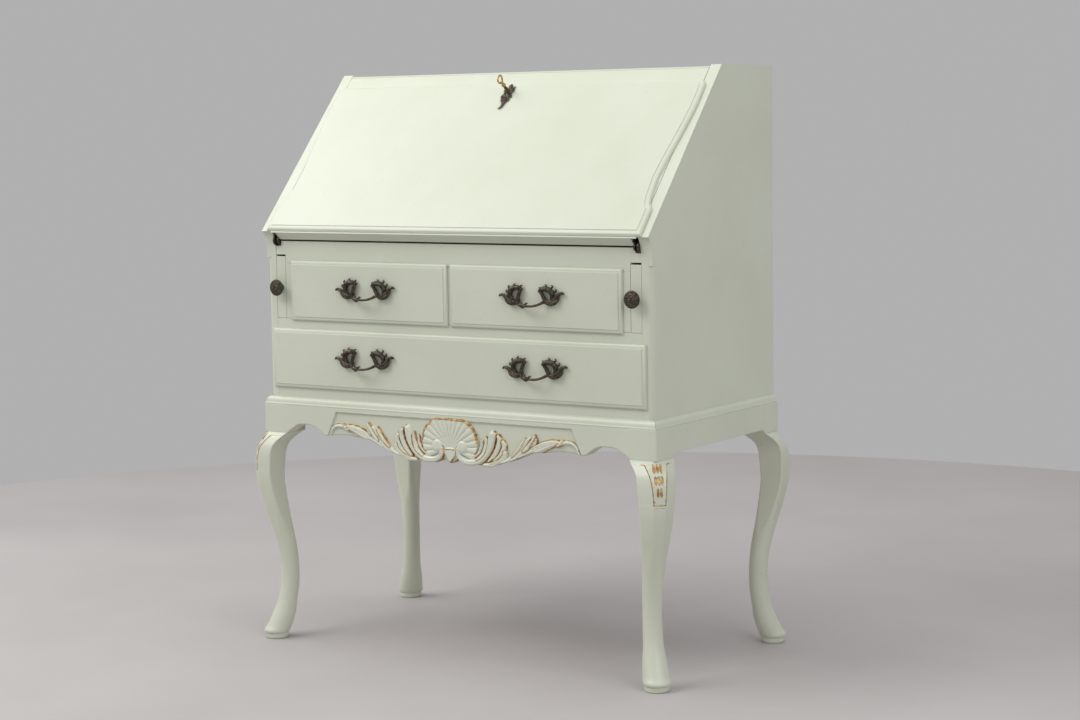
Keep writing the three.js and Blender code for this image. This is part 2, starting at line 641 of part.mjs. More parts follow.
drawer('small_drawer_right', [dividerThick / 2, partitionInner], [smallBottom, smallTop],
  { sides: [4, smallOverlap.side], top: smallOverlap.top, bottom: smallOverlap.bottom },
  [['handle_upper_right', handleInset]]);
drawer('long_drawer', [-innerHalf, innerHalf], [longBottom, longTop],
  { sides: [longOverlap.side, longOverlap.side], top: longOverlap.top, bottom: longOverlap.bottom },
  [['handle_lower_left', -handleInset - 4.5], ['handle_lower_right', handleInset + 4.5]]);

// ---------------------------------------------------------------- lopers
const loperBottom = smallBottom + seam;
for (const [name, sign] of [['left', -1], ['right', 1]]) {
  const xs = [sign * loperInner, sign * loperOuter].sort((a, b) => a - b);
  place(`loper_${name}`, box([xs[0], caseFront, loperBottom],
    [xs[1], caseFront + loperLength, loperTop]), paint);
  const profile = [[0, 0], [6, 0], [4.4, 5], [6, 9], [knobRadius - 1.5, 11.5], [knobRadius, 14],
    [knobRadius - 3, 17.2], [0, knobReach]];
  const knob = new THREE.LatheGeometry(profile.map(([x, y]) => new THREE.Vector2(x, y)), 18);
  place(`loper_knob_${name}`, knob.rotateX(Math.PI)
    .translate(sign * (loperInner + loperOuter) / 2, caseFront - seam,
      (loperBottom + loperTop) / 2), bronze);
}

// ---------------------------------------------------------------- flap and what it carries
const flap = new THREE.Group();
flap.position.set(0, hingeY, writingTop);
flap.rotation.x = slopeAngle;
desk.add(flap);
// In the flap's own frame +Y runs up the slope from the hinge, and +Z out of its face.

const boardFace = flapThick + seam; // outer face of the flap's board, just proud of the sides
const fieldFace = flapThick + fieldThick;
const fieldLow = tipDrop + 0.4;
const fieldTop = 26; // plain board left above the field
const fieldCorner = 18;
const fieldHalf = caseHalf - 11.5;
// The field's side edge: distance up from its lower edge, and how far it draws in from the widest
// place. It is straight, turns in at a cusp, and comes out again in a long S.
const fieldSide = [
  { up: 0, inset: 1 }, { up: 50, inset: 1 }, { up: 57, inset: 2.7 }, { up: 66, inset: 8 },
  { up: 80, inset: 10.8 }, { up: 98, inset: 12.2 }, { up: 120, inset: 13.4 }, { up: 148, inset: 11.4 },
  { up: 174, inset: 9 }, { up: 200, inset: 6 }, { up: 224, inset: 3.6 }, { up: 248, inset: 1.6 },
  { up: 272, inset: 0 }, { up: 298, inset: 0 },
];
const fieldSideModel = 333; // height of the field that these distances are given for

/** Outline of the field, drawn in by an inset. */
function fieldRing(inset, out) {
  const high = flapLength - fieldTop;
  const stretch = (high - fieldLow) / fieldSideModel;
  const right = fieldSide.map((station, i) => new THREE.Vector3(
    fieldHalf - station.inset - inset, fieldLow + station.up * stretch + (i === 0 ? inset : 0), out));
  const bend = Array.from({ length: 5 }, (_, i) => {
    const angle = (Math.PI / 2) * (i / 4);
    return new THREE.Vector3(fieldHalf - 1 - fieldCorner + (fieldCorner - inset) * Math.cos(angle),
      high - fieldCorner + (fieldCorner - inset) * Math.sin(angle), out);
  });
  const half = [...right, ...bend];
  return [...half, ...half.map((p) => new THREE.Vector3(-p.x, p.y, p.z)).reverse()];
}

function raisedField() {
  const turns = 4;
  const levels = [[0, 0], [0, 1.6], [0.9, 2.2]];
  for (let i = 1; i <= turns; i += 1) {
    const angle = (Math.PI / 2) * (i / turns);
    levels.push([
      0.9 + (fieldMould - 1.9) * (1 - Math.cos(angle)),
      2.2 + (fieldThick - 4.1) * Math.sin(angle),
    ]);
  }
  levels.push([fieldMould - 0.8, fieldThick - 1.8], [fieldMould, fieldThick - seam]);
  return solid(loft(levels.map(([inset, out]) => fieldRing(inset, boardFace + out))));
}

const keyUp = flapLength - lock.toEnd;
function keyhole(depthFrom, depthTo) {
  const hole = solid(bar('z', 4.4, [0, keyUp], depthFrom, depthTo, 20));
  return hole.add(blockOf([-2, keyUp - key.bitReach - 1.5, depthFrom], [2, keyUp, depthTo]));
}
const lockLow = keyUp - lock.height * 0.36;
const lockBack = lock.thick + seam;
const flapHalf = innerHalf - flapSideGap;

function flapBody() {
  const board = blockOf([-flapHalf, seam, 0], [flapHalf, flapLength, boardFace]);
  const bevel = slabX([[seam - 1, -1], [seam + flapEase + 1, -1], [seam - 1, flapEase + 1]],
    -flapHalf - 1, flapHalf + 1);
  let panel = board.add(raisedField()).subtract(solid(bevel));
  for (const sign of [-1, 1]) {
    const xs = [sign * (innerHalf - pivot.notch), sign * (flapHalf + 1)].sort((a, b) => a - b);
    panel = panel.subtract(blockOf([xs[0], -1, -1], [xs[1], pivot.notchUp, flapThick - 1]));
  }
  const pocket = blockOf([-lock.width / 2 - seam, lockLow - seam, -1],
    [lock.width / 2 + seam, lockLow + lock.height + seam, lockBack]);
  const channel = blockOf([-lock.bolt / 2 - 0.6, lockLow, 2.4],
    [lock.bolt / 2 + 0.6, flapLength + 1, 2.4 + lock.boltThick + 1.2]);
  return panel.subtract(pocket).subtract(channel).subtract(keyhole(lockBack - 1, fieldFace + 1));
}
place('flap_panel', flapBody(), paint, flap);

// pivots at the lower corners
for (const [name, sign] of [['left', -1], ['right', 1]]) {
  const inward = innerHalf - pivot.notch;
  const span = (a, b) => [sign * a, sign * b].sort((p, q) => p - q);
  const strapX = span(inward + seam, inward + seam + pivot.strapThick);
  const strap = solid(bar('x', pivot.eye, [0, 0], strapX[0], strapX[1], 24))
    .add(blockOf([strapX[0], 0, 1], [strapX[1], 27, 13]))
    .subtract(solid(bar('x', pivot.pin + 0.08, [0, 0], strapX[0] - 1, strapX[1] + 1, 24)));
  place(`pivot_strap_${name}`, strap, brass, flap);
  const plateX = span(innerHalf - seam - pivot.plateThick, innerHalf - seam);
  const pinX = span(inward + 1, innerHalf - seam - 1);
  const plate = solid(bar('x', pivot.plate, [hingeY, writingTop], plateX[0], plateX[1], 28))
    .add(blockOf([plateX[0], hingeY, writingTop - plateTail.low],
      [plateX[1], hingeY + plateTail.back, writingTop - plateTail.high]))
    .add(solid(bar('x', pivot.pin, [hingeY, writingTop], pinX[0], pinX[1], 24)));
  place(`pivot_plate_${name}`, plate, brass);
}

// lock, bolt, escutcheon and key
const boltLow = keyUp + 12;
function lockBody() {
  const body = blockOf([-lock.width / 2, lockLow, 0.4], [lock.width / 2, lockLow + lock.height, lock.thick]);
  const channel = blockOf([-lock.bolt / 2 - 0.5, keyUp - 3, 2.5],
    [lock.bolt / 2 + 0.5, lockLow + lock.height + 1, 2.5 + lock.boltThick + 1]);
  const ward = solid(bar('z', key.bitReach + 1.5, [0, keyUp], 2.5, 2.5 + lock.boltThick + 1, 24));
  return body.subtract(channel).subtract(ward).subtract(keyhole(2.5, lock.thick + 1));
}
place('lock_body', lockBody(), brass, flap);
place('lock_bolt', box([-lock.bolt / 2, boltLow, 3],
  [lock.bolt / 2, flapLength, 3 + lock.boltThick]), brass, flap);

/** Leaf-shaped plate round the keyhole. */
function escutcheonBody() {
  const shape = new THREE.Shape();
  shape.moveTo(0, keyUp + 20);
  shape.quadraticCurveTo(5, keyUp + 15, 4, keyUp + 11);
  shape.quadraticCurveTo(12, keyUp + 9, 10.5, keyUp);
  shape.quadraticCurveTo(12, keyUp - 10, 6, keyUp - 15);
  shape.quadraticCurveTo(7, keyUp - 26, 0, keyUp - 38);
  shape.quadraticCurveTo(-7, keyUp - 26, -6, keyUp - 15);
  shape.quadraticCurveTo(-12, keyUp - 10, -10.5, keyUp);
  shape.quadraticCurveTo(-12, keyUp + 9, -4, keyUp + 11);
  shape.quadraticCurveTo(-5, keyUp + 15, 0, keyUp + 20);
  const plate = new THREE.ExtrudeGeometry(shape, { depth: 2.2, bevelEnabled: false, curveSegments: 4 });
  return solid(plate.translate(0, 0, fieldFace + seam)).subtract(keyhole(fieldFace - 1, fieldFace + 5));
}
place('escutcheon', escutcheonBody(), bronze, flap);

function keyBody() {
  const tip = 3.2;
  const head = fieldFace + key.reach;
  const shank = solid(bar('z', key.radius, [0, keyUp], tip, head - 13, 12));
  const collar = solid(bar('z', 4, [0, keyUp], head - 22, head - 19, 12));
  const bit = blockOf([-1.2, keyUp - key.bitReach, tip], [1.2, keyUp, tip + lock.boltThick - 0.4]);
  const bow = solid(new THREE.TorusGeometry(7, 1.9, 6, 14).scale(1, 1.15, 1).rotateY(Math.PI / 2)
    .rotateX(Math.PI / 2).translate(0, keyUp, head - 7.4));
  return joined([shank, collar, bit, bow]);
}
place('key', keyBody(), brass, flap);

// ---------------------------------------------------------------- pigeonholes behind the flap
const innerFront = hingeY + (inner.height * cos) / sin + inner.frontGap;
const innerBase = writingTop + seam;
const unitTop = writingTop + inner.height;
const dividerOuter = fitHalf - inner.bay;
const dividerInner = dividerOuter - inner.board;
const bayShelf = writingTop + inner.drawerHeight + 2 * inner.drawerPlay;
place('pigeonhole_top', box([-fitHalf, innerFront, unitTop - inner.board],
  [fitHalf, insideBack, unitTop]), rawWood);
for (const [name, sign] of [['left', -1], ['right', 1]]) {
  const span = (a, b) => [sign * a, sign * b].sort((p, q) => p - q);
  const post = span(dividerInner, dividerOuter);
  place(`pigeonhole_divider_${name}`, box([post[0], innerFront, innerBase],
    [post[1], insideBack, unitTop - inner.board - seam]), rawWood);
  const bay = span(dividerOuter + seam, fitHalf);
  place(`pigeonhole_shelf_${name}`, box([bay[0], innerFront, bayShelf],
    [bay[1], insideBack, bayShelf + inner.board]), rawWood);
  const run = span(dividerOuter + inner.drawerPlay, innerHalf - inner.drawerPlay);
  place(`inner_drawer_${name}`, tray([run[0], innerFront, writingTop + inner.drawerPlay],
    [run[1], insideBack - drawerBackGap, bayShelf - inner.drawerPlay], 9, 5), rawWood);
  const knobLine = [[0, 0], [3.5, 0], [2.6, 3], [3, 6], [6.5, 8], [7, 10], [5, 12.5], [0, 13.5]];
  const knob = new THREE.LatheGeometry(knobLine.map(([x, y]) => new THREE.Vector2(x, y)), 20);
  place(`inner_knob_${name}`, knob.rotateX(Math.PI)
    .translate((run[0] + run[1]) / 2, innerFront - seam, writingTop + inner.drawerHeight / 2), brass);
}

export default desk;
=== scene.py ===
"""Slant-front secretary desk: painted case on a carved stand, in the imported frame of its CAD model."""
import json
import math

import bmesh
import bpy
import numpy as np
from mathutils import Matrix, Vector


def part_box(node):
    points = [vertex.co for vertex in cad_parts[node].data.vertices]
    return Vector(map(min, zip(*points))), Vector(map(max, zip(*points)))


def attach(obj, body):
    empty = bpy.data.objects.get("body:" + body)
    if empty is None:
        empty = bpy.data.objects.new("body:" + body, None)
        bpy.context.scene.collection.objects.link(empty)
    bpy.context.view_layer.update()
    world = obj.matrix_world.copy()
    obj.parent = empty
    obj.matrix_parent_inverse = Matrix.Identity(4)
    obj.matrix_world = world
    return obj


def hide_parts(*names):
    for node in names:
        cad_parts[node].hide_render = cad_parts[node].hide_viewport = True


MM = 0.001

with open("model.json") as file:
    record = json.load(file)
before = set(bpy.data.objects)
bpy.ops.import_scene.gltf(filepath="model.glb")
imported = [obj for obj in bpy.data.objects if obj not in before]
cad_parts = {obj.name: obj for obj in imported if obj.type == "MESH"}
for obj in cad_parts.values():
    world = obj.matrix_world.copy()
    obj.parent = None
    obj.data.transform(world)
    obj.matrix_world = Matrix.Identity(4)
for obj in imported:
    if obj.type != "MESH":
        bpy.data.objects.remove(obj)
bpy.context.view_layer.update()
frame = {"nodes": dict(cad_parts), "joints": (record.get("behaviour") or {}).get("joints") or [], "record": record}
BODY_OF = {
    node: body
    for body, nodes in frame["record"]["behaviour"]["bodies"].items()
    for node in nodes
}
SLOT_OF = {part["node"]: part["material_slot"] for part in frame["record"]["subparts"]}


def span(node):
    """Lowest and highest corner of a CAD node, in millimetres."""
    low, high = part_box(node)
    return np.array(low) / MM, np.array(high) / MM


# ------------------------------------------------------------------ materials
def new_material(name):
    material = bpy.data.materials.new(name)
    material.use_nodes = True
    tree = material.node_tree
    shader = tree.nodes["Principled BSDF"]
    coords = tree.nodes.new("ShaderNodeTexCoord")
    return material, tree, shader, coords


def noise(tree, coords, scale, detail=3.0, stretch=None, roughness=0.55):
    """Noise in the desk's own coordinates; stretch gives the scale along X, Y and Z."""
    source = coords.outputs["Object"]
    if stretch is not None:
        mapping = tree.nodes.new("ShaderNodeMapping")
        mapping.inputs["Scale"].default_value = stretch
        tree.links.new(source, mapping.inputs["Vector"])
        source = mapping.outputs["Vector"]
    node = tree.nodes.new("ShaderNodeTexNoise")
    node.inputs["Scale"].default_value = scale
    node.inputs["Detail"].default_value = detail
    node.inputs["Roughness"].default_value = roughness
    tree.links.new(source, node.inputs["Vector"])
    return node.outputs["Fac"]


def ramp(tree, factor, stops):
    node = tree.nodes.new("ShaderNodeValToRGB")
    elements = node.color_ramp.elements
    while len(elements) < len(stops):
        elements.new(0.5)
    for element, (position, value) in zip(elements, stops):
        element.position = position
        element.color = (*value, 1) if isinstance(value, tuple) else (value, value, value, 1)
    tree.links.new(factor, node.inputs["Fac"])
    return node.outputs["Color"]


def mix(tree, factor, first, second, blend="MIX"):
    node = tree.nodes.new("ShaderNodeMix")
    node.data_type = "RGBA"
    node.blend_type = blend
    for socket, value in ((node.inputs[0], factor), (node.inputs[6], first), (node.inputs[7], second)):
        if isinstance(value, (int, float)):
            socket.default_value = value
        elif isinstance(value, tuple):
            socket.default_value = (*value, 1)
        else:
            tree.links.new(value, socket)
    return node.outputs[2]


def bump(tree, shader, height, strength, distance=0.001, under=None):
    node = tree.nodes.new("ShaderNodeBump")
    node.inputs["Strength"].default_value = strength
    node.inputs["Distance"].default_value = distance
    tree.links.new(height, node.inputs["Height"])
    if under is not None:
        tree.links.new(under, node.inputs["Normal"])
    tree.links.new(node.outputs["Normal"], shader.inputs["Normal"])
    return node.outputs["Normal"]


PAINT = (0.618, 0.650, 0.540)
PAINT_DEEP = (0.584, 0.618, 0.500)
HIGHLIGHT = (0.680, 0.700, 0.590)
CARVING_SHEEN = 0.6  # painted highlight: how far the highest carving goes towards the lighter highlight colour
GOLD = [(0.30, (0.17, 0.095, 0.038)), (0.48, (0.42, 0.25, 0.10)), (0.68, (0.72, 0.51, 0.22))]


def paint_colour(tree, coords):
    cloud = ramp(tree, noise(tree, coords, 5.0, 4), [(0.35, PAINT_DEEP), (0.62, PAINT)])
    specks = ramp(tree, noise(tree, coords, 190.0, 2), [(0.26, 0.72), (0.31, 1.0)])
    return mix(tree, 0.35, cloud, mix(tree, 1.0, cloud, specks, "MULTIPLY"))


def paint_surface(tree, shader, coords):
    rough = ramp(tree, noise(tree, coords, 14.0, 4), [(0.3, 0.34), (0.7, 0.44)])
    tree.links.new(rough, shader.inputs["Roughness"])
    peel = bump(tree, shader, noise(tree, coords, 420.0, 2), 0.10, 0.0004)
    bump(tree, shader, noise(tree, coords, 38.0, 3, (1, 1, 2.5)), 0.10, 0.0016, peel)


def painted():
    material, tree, shader, coords = new_material("satin_paint")
    tree.links.new(paint_colour(tree, coords), shader.inputs["Base Color"])
    paint_surface(tree, shader, coords)
    shader.inputs["Specular IOR Level"].default_value = 0.42
    return material


def painted_and_gilded():
    """Paint whose carved lines carry worn gold: the gild attribute says where. A second attribute paints a
    highlight on the raised carving, mixing it towards a lighter colour.
    """
    material, tree, shader, coords = new_material("gilded_paint")
    mask = tree.nodes.new("ShaderNodeAttribute")
    mask.attribute_name = "gild"
    painted_highlight = tree.nodes.new("ShaderNodeAttribute")
    painted_highlight.attribute_name = "painted_highlight"
    wear = noise(tree, coords, 260.0, 4)
    added = tree.nodes.new("ShaderNodeMath")
    added.operation = "MULTIPLY_ADD"
    tree.links.new(wear, added.inputs[0])
    added.inputs[1].default_value = 0.9
    tree.links.new(mask.outputs["Fac"], added.inputs[2])
    gold_share = ramp(tree, added.outputs["Value"], [(0.80, 0.0), (0.98, 1.0)])
    gold = ramp(tree, noise(tree, coords, 150.0, 3), GOLD)
    # painted highlight: raised carving is mixed from the paint colour towards the lighter HIGHLIGHT colour
    raised_highlight = mix(tree, painted_highlight.outputs["Fac"], paint_colour(tree, coords), HIGHLIGHT)
    tree.links.new(mix(tree, gold_share, raised_highlight, gold), shader.inputs["Base Color"])
    shine = ramp(tree, added.outputs["Value"], [(0.80, 0.0), (0.98, 0.35)])
    tree.links.new(shine, shader.inputs["Metallic"])
    paint_surface(tree, shader, coords)
    return material


def plain_wood(name, grain_stretch, pore_stretch):
    material, tree, shader, coords = new_material(name)
    grain = noise(tree, coords, 7.0, 6, grain_stretch, 0.62)
    pores = noise(tree, coords, 60.0, 2, pore_stretch)
    colour = ramp(tree, grain, [
        (0.28, (0.20, 0.095, 0.038)), (0.5, (0.36, 0.195, 0.085)), (0.72, (0.47, 0.28, 0.135))])
    streaks = ramp(tree, pores, [(0.36, 0.62), (0.46, 1.0)])
    tree.links.new(mix(tree, 0.6, colour, mix(tree, 1.0, colour, streaks, "MULTIPLY")),
                   shader.inputs["Base Color"])
    tree.links.new(ramp(tree, grain, [(0.3, 0.48), (0.7, 0.62)]), shader.inputs["Roughness"])
    bump(tree, shader, pores, 0.12, 0.0005)
    return material


def dark_bronze():
    material, tree, shader, coords = new_material("dark_bronze")
    patches = noise(tree, coords, 210.0, 4)
    colour = ramp(tree, patches, [
        (0.30, (0.030, 0.029, 0.022)), (0.52, (0.078, 0.066, 0.050)), (0.75, (0.165, 0.118, 0.088))])
    tree.links.new(colour, shader.inputs["Base Color"])
    shader.inputs["Metallic"].default_value = 0.75
    tree.links.new(ramp(tree, patches, [(0.3, 0.55), (0.75, 0.36)]), shader.inputs["Roughness"])
    bump(tree, shader, noise(tree, coords, 900.0, 3), 0.35, 0.0006)
    return material


def aged_brass():
    material, tree, shader, coords = new_material("aged_brass")
    patches = noise(tree, coords, 130.0, 4)
    colour = ramp(tree, patches, [
        (0.30, (0.34, 0.22, 0.085)), (0.5, (0.45, 0.30, 0.115)), (0.7, (0.56, 0.39, 0.16))])
    tree.links.new(colour, shader.inputs["Base Color"])
    shader.inputs["Metallic"].default_value = 0.9
    tree.links.new(ramp(tree, patches, [(0.3, 0.42), (0.7, 0.32)]), shader.inputs["Roughness"])
    bump(tree, shader, noise(tree, coords, 700.0, 2), 0.08, 0.0004)
    return material


PAINTED = painted()
GILDED = painted_and_gilded()
WOOD = plain_wood("wood_along_the_width", (1.2, 9, 14), (0.5, 7, 7))
WOOD_DEEP = plain_wood("wood_along_the_depth", (14, 1.2, 9), (7, 0.5, 7))
BRONZE = dark_bronze()
BRASS = aged_brass()
MATERIAL = {"paint": PAINTED, "gilding": GILDED, "raw_wood": WOOD, "bronze": BRONZE, "brass": BRASS}


# ------------------------------------------------------------------ mesh helpers
def finish_piece(name, mesh, nodes, materials, sharp=32, level=True):
    """Puts a mesh into the scene in place of CAD nodes; level keeps its large faces flat."""
    if "custom_normal" in mesh.attributes:
        mesh.attributes.remove(mesh.attributes["custom_normal"])
    for material in materials:
        mesh.materials.append(material)
    mesh.shade_smooth()
    mesh.set_sharp_from_angle(angle=math.radians(sharp))
    piece = bpy.data.objects.new(name, mesh)
    bpy.context.scene.collection.objects.link(piece)
    if level:
        piece.modifiers.new("level_faces", "WEIGHTED_NORMAL").keep_sharp = True
    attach(piece, BODY_OF[nodes[0]])
    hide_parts(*nodes)
    return piece


def mesh_from(name, vertices, faces):
    """Mesh from millimetre points."""
    mesh = bpy.data.meshes.new(name)
    mesh.from_pydata([tuple(float(c) * MM for c in v) for v in vertices], [], faces)
    mesh.validate()
    return mesh


def grid_faces(rows, columns, wrap_columns=False, first=0):
    """Quads over a grid of points stored row by row."""
    last = columns if wrap_columns else columns - 1
    return [
        (first + r * columns + c, first + r * columns + (c + 1) % columns,
         first + (r + 1) * columns + (c + 1) % columns, first + (r + 1) * columns + c)
        for r in range(rows - 1)
        for c in range(last)
    ]


def loft(rings):
    """Closed skin over rings with the same number of points, flat at both ends."""
    count = len(rings[0])
    vertices = [p for ring in rings for p in ring]
    faces = grid_faces(len(rings), count, wrap_columns=True)
    last = (len(rings) - 1) * count
    faces.append(tuple(reversed(range(count))))
    faces.append(tuple(range(last, last + count)))
    return vertices, faces


def spline(points, samples):
    """Catmull-Rom curve through points, as an array of samples."""
    points = np.array(points, float)
    padded = np.vstack([2 * points[0] - points[1], points, 2 * points[-1] - points[-2]])
    out = []
    for t in np.linspace(0, len(points) - 1, samples):
        i = min(int(t), len(points) - 2)
        f = t - i
        p0, p1, p2, p3 = padded[i:i + 4]
        out.append(0.5 * (2 * p1 + (p2 - p0) * f + (2 * p0 - 5 * p1 + 4 * p2 - p3) * f ** 2
                          + (3 * p1 - p0 - 3 * p2 + p3) * f ** 3))
    return np.array(out)


RAIL_END, SIDE_FACE = 372.2, 372.52


def worn_board(node, materials=None, width=0.8, to_sides=False, lowered=0.0):
    """Copy of a CAD node with its edges eased, as sanded and painted boards have them.

    to_sides carries its ends up to the case's sides, where paint fills the joint. lowered takes its
    top down."""
    source = frame["nodes"][node].data
    work = bmesh.new()
    work.from_mesh(source)
    bmesh.ops.remove_doubles(work, verts=work.verts, dist=1e-6)
    if width:
        bmesh.ops.dissolve_limit(work, angle_limit=math.radians(0.5), verts=work.verts, edges=work.edges)
    for corner_point in work.verts if to_sides else ():
        if abs(abs(corner_point.co.x) - RAIL_END * MM) < 0.2 * MM:
            corner_point.co.x = math.copysign(SIDE_FACE * MM, corner_point.co.x)
    top = max(corner_point.co.z for corner_point in work.verts)
    for corner_point in work.verts:
        if corner_point.co.z > top - 0.05 * MM:
            corner_point.co.z -= lowered * MM
    mesh = bpy.data.meshes.new(node + "_board")
    work.to_mesh(mesh)
    work.free()
    mesh.materials.clear()
    materials = materials or [MATERIAL[SLOT_OF[node]]]
    if materials == [WOOD]:
        materials = [WOOD, WOOD_DEEP]
    for face in mesh.polygons:
        face.material_index = int(len(materials) > 1 and abs(face.normal.x) > 0.7)
    piece = finish_piece(node + "_board", mesh, [node], materials, level=not width)
    if not width:
        return
    edges = piece.modifiers.new("eased_edges", "BEVEL")
    edges.width = width * MM
    edges.segments = 2
    edges.limit_method = "ANGLE"
    edges.angle_limit = math.radians(35)
    edges.harden_normals = True


# ------------------------------------------------------------------ boards that keep their CAD shape
for node in ["bottom_rail", "middle_rail"]:
    worn_board(node, to_sides=True)
for node in ["back_apron", "side_apron_left", "side_apron_right", "top_board", "loper_partition_left",
             "loper_partition_right", "loper_left", "loper_right", "centre_divider"]:
    worn_board(node)
worn_board("top_rail", width=0.4, to_sides=True, lowered=1.3)
for node in ["back_panel", "bottom_board", "dust_board", "pigeonhole_top", "pigeonhole_divider_left",
             "pigeonhole_divider_right", "pigeonhole_shelf_left", "pigeonhole_shelf_right",
             "small_drawer_left_box", "small_drawer_right_box", "long_drawer_box",
             "inner_drawer_left", "inner_drawer_right"]:
    worn_board(node)
for node in ["pivot_plate_left", "pivot_plate_right", "pivot_strap_left", "pivot_strap_right"]:
    worn_board(node, [BRONZE], width=0.3)
for node in ["lock_body", "lock_bolt", "strike_plate"]:
    worn_board(node, width=0.3)
worn_board("writing_bed", [WOOD], width=0.5)
for node in ("side_left", "side_right"):
    worn_board(node, width=0)


# ------------------------------------------------------------------ moulded edges
def ovolo(width, height, rim, steps=9):
    """Profile of a moulded edge as (inset, height): a rim, a quirk, a quarter round, a small step."""
    curve = [(0.9 + (width - 2.1) * (1 - math.cos(a)), rim + 0.4 + (height - rim - 1.5) * math.sin(a))
             for a in np.linspace(0, math.pi / 2, steps)]
    return [(0, 0), (0, rim - 0.3), (0.3, rim), (0.8, rim), *curve,
            (width - 1.0, height - 1.05), (width - 0.85, height - 0.25), (width - 0.5, height),
            (width, height)]


FRONT_THICK = 5.7


def drawer_front(node):
    low, high = span(node)
    back = low[1] + FRONT_THICK
    rings = []
    for inset, out in ovolo(7.5, FRONT_THICK, 1.9):
        rings.append([(low[0] + inset, back - out, low[2] + inset),
                      (high[0] - inset, back - out, low[2] + inset),
                      (high[0] - inset, back - out, high[2] - inset),
                      (low[0] + inset, back - out, high[2] - inset)])
    vertices, faces = loft(rings)
    finish_piece(node + "_panel", mesh_from(node, vertices, faces), [node], [PAINTED], 28)


for drawer in ("small_drawer_left_front", "small_drawer_right_front", "long_drawer_front"):
    drawer_front(drawer)


def case_moulding(node):
    """Strip round the foot of the case: a bead, a fillet and a quarter round."""
    low, high = span(node)
    low[2] -= 0.3
    reach = 7.7
    section = [(0, 0), (reach - 0.5, 0), (reach, 0.5), (reach, 1.9), (reach - 0.5, 2.5), (reach - 1.5, 2.7),
               (reach - 1.5, 3.3)]
    section += [((reach - 1.9) * math.cos(a), 3.6 + 8.9 * math.sin(a))
                for a in np.linspace(0, math.pi / 2 - 0.08, 12)]
    section += [(0.4, high[2] - low[2] - 0.9), (0, high[2] - low[2])]
    if node == "moulding_front":
        back = high[1]
        ends = [(low[0] + reach, -1), (high[0] - reach, 1)]
        rings = [[(x + lean * out, back - out, low[2] + z) for out, z in section] for x, lean in ends]
    else:
        side = 1 if node.endswith("right") else -1
        inner = low[0] if side > 0 else high[0]
        ends = [(low[1] + reach, -1), (high[1], 0)]
        rings = [[(inner + side * out, y + lean * out, low[2] + z) for out, z in section]
                 for y, lean in ends]
        if side < 0:
            rings = rings[::-1]
    vertices, faces = loft(rings)
    mesh = mesh_from(node, vertices, faces)
    work = bmesh.new()
    work.from_mesh(mesh)
    bmesh.ops.recalc_face_normals(work, faces=work.faces)
    work.to_mesh(mesh)
    work.free()
    finish_piece(node + "_strip", mesh, [node], [PAINTED], 28)


for strip in ("moulding_front", "moulding_left", "moulding_right"):
    case_moulding(strip)


# ------------------------------------------------------------------ flap
hinge = next(j for j in frame["joints"] if j["name"] == "flap_hinge")
key_joint = next(j for j in frame["joints"] if j["name"] == "key_turn")
HINGE = np.array(hinge["pos_m"]) / MM
OUT = np.array(key_joint["axis"])
UP = np.array([0, -OUT[2], OUT[1]]) * -1
BOARD_FACE = 21.3
FIELD_FACE = 28.0


def on_flap(x, up, out):
    """Point from its place across the flap, up it from the hinge, and out of its inner face."""
    return tuple(np.array([x, 0, 0]) + HINGE + UP * up + OUT * out)


def in_flap(point):
    """Distance up the flap and out of its inner face, of a point in metres."""
    rest = np.array(point) / MM - HINGE
    return float(rest @ UP), float(rest @ OUT)


FLAP_LOW, FLAP_TOP, WIDEST, CORNER = 3.3, 336.0, 381.0, 18.0
SIDE_INSETS = [(50, 1.0), (54, 1.4), (58, 3.2), (62, 6.0), (66, 8.0), (72, 9.6), (80, 10.8), (98, 12.2),
               (120, 13.4), (148, 11.4), (174, 9), (200, 6), (224, 3.6), (248, 1.6), (272, 0.2), (298, 0)]


def field_outline():
    """Right half of the raised field's edge, from the bottom up and over to the middle."""
    side = spline([(WIDEST - inset, FLAP_LOW + up) for up, inset in SIDE_INSETS], 90)
    bend = [(WIDEST - 1 - CORNER + CORNER * math.cos(a), FLAP_TOP - CORNER + CORNER * math.sin(a))
            for a in np.linspace(0, math.pi / 2, 14)]
    return np.vstack([[(WIDEST - 1, FLAP_LOW), (WIDEST - 1, FLAP_LOW + 18), (WIDEST - 1, FLAP_LOW + 36)],
                      side, bend])


def offset_inwards(line, inset):
    """Line moved to its left by an inset, the bottom kept level."""
    tangent = np.gradient(line, axis=0)
    tangent /= np.linalg.norm(tangent, axis=1)[:, None]
    for _ in range(3):
        tangent[1:-1] = (tangent[:-2] + 2 * tangent[1:-1] + tangent[2:]) / 4
    tangent /= np.linalg.norm(tangent, axis=1)[:, None]
    moved = line + inset * np.column_stack([-tangent[:, 1], tangent[:, 0]])
    moved[0] = (line[0, 0] - inset, line[0, 1] + inset)
    return moved


def flap_field():
    half = field_outline()
    rings = []
    for inset, out in ovolo(9.5, FIELD_FACE - BOARD_FACE, 2.0, 10):
        line = offset_inwards(half, inset)
        right = [on_flap(x, up, BOARD_FACE + out) for x, up in line]
        left = [on_flap(-x, up, BOARD_FACE + out) for x, up in line[::-1]]
        rings.append(right + left)
    vertices, faces = loft(rings)
    return mesh_from("flap_field", vertices, faces)


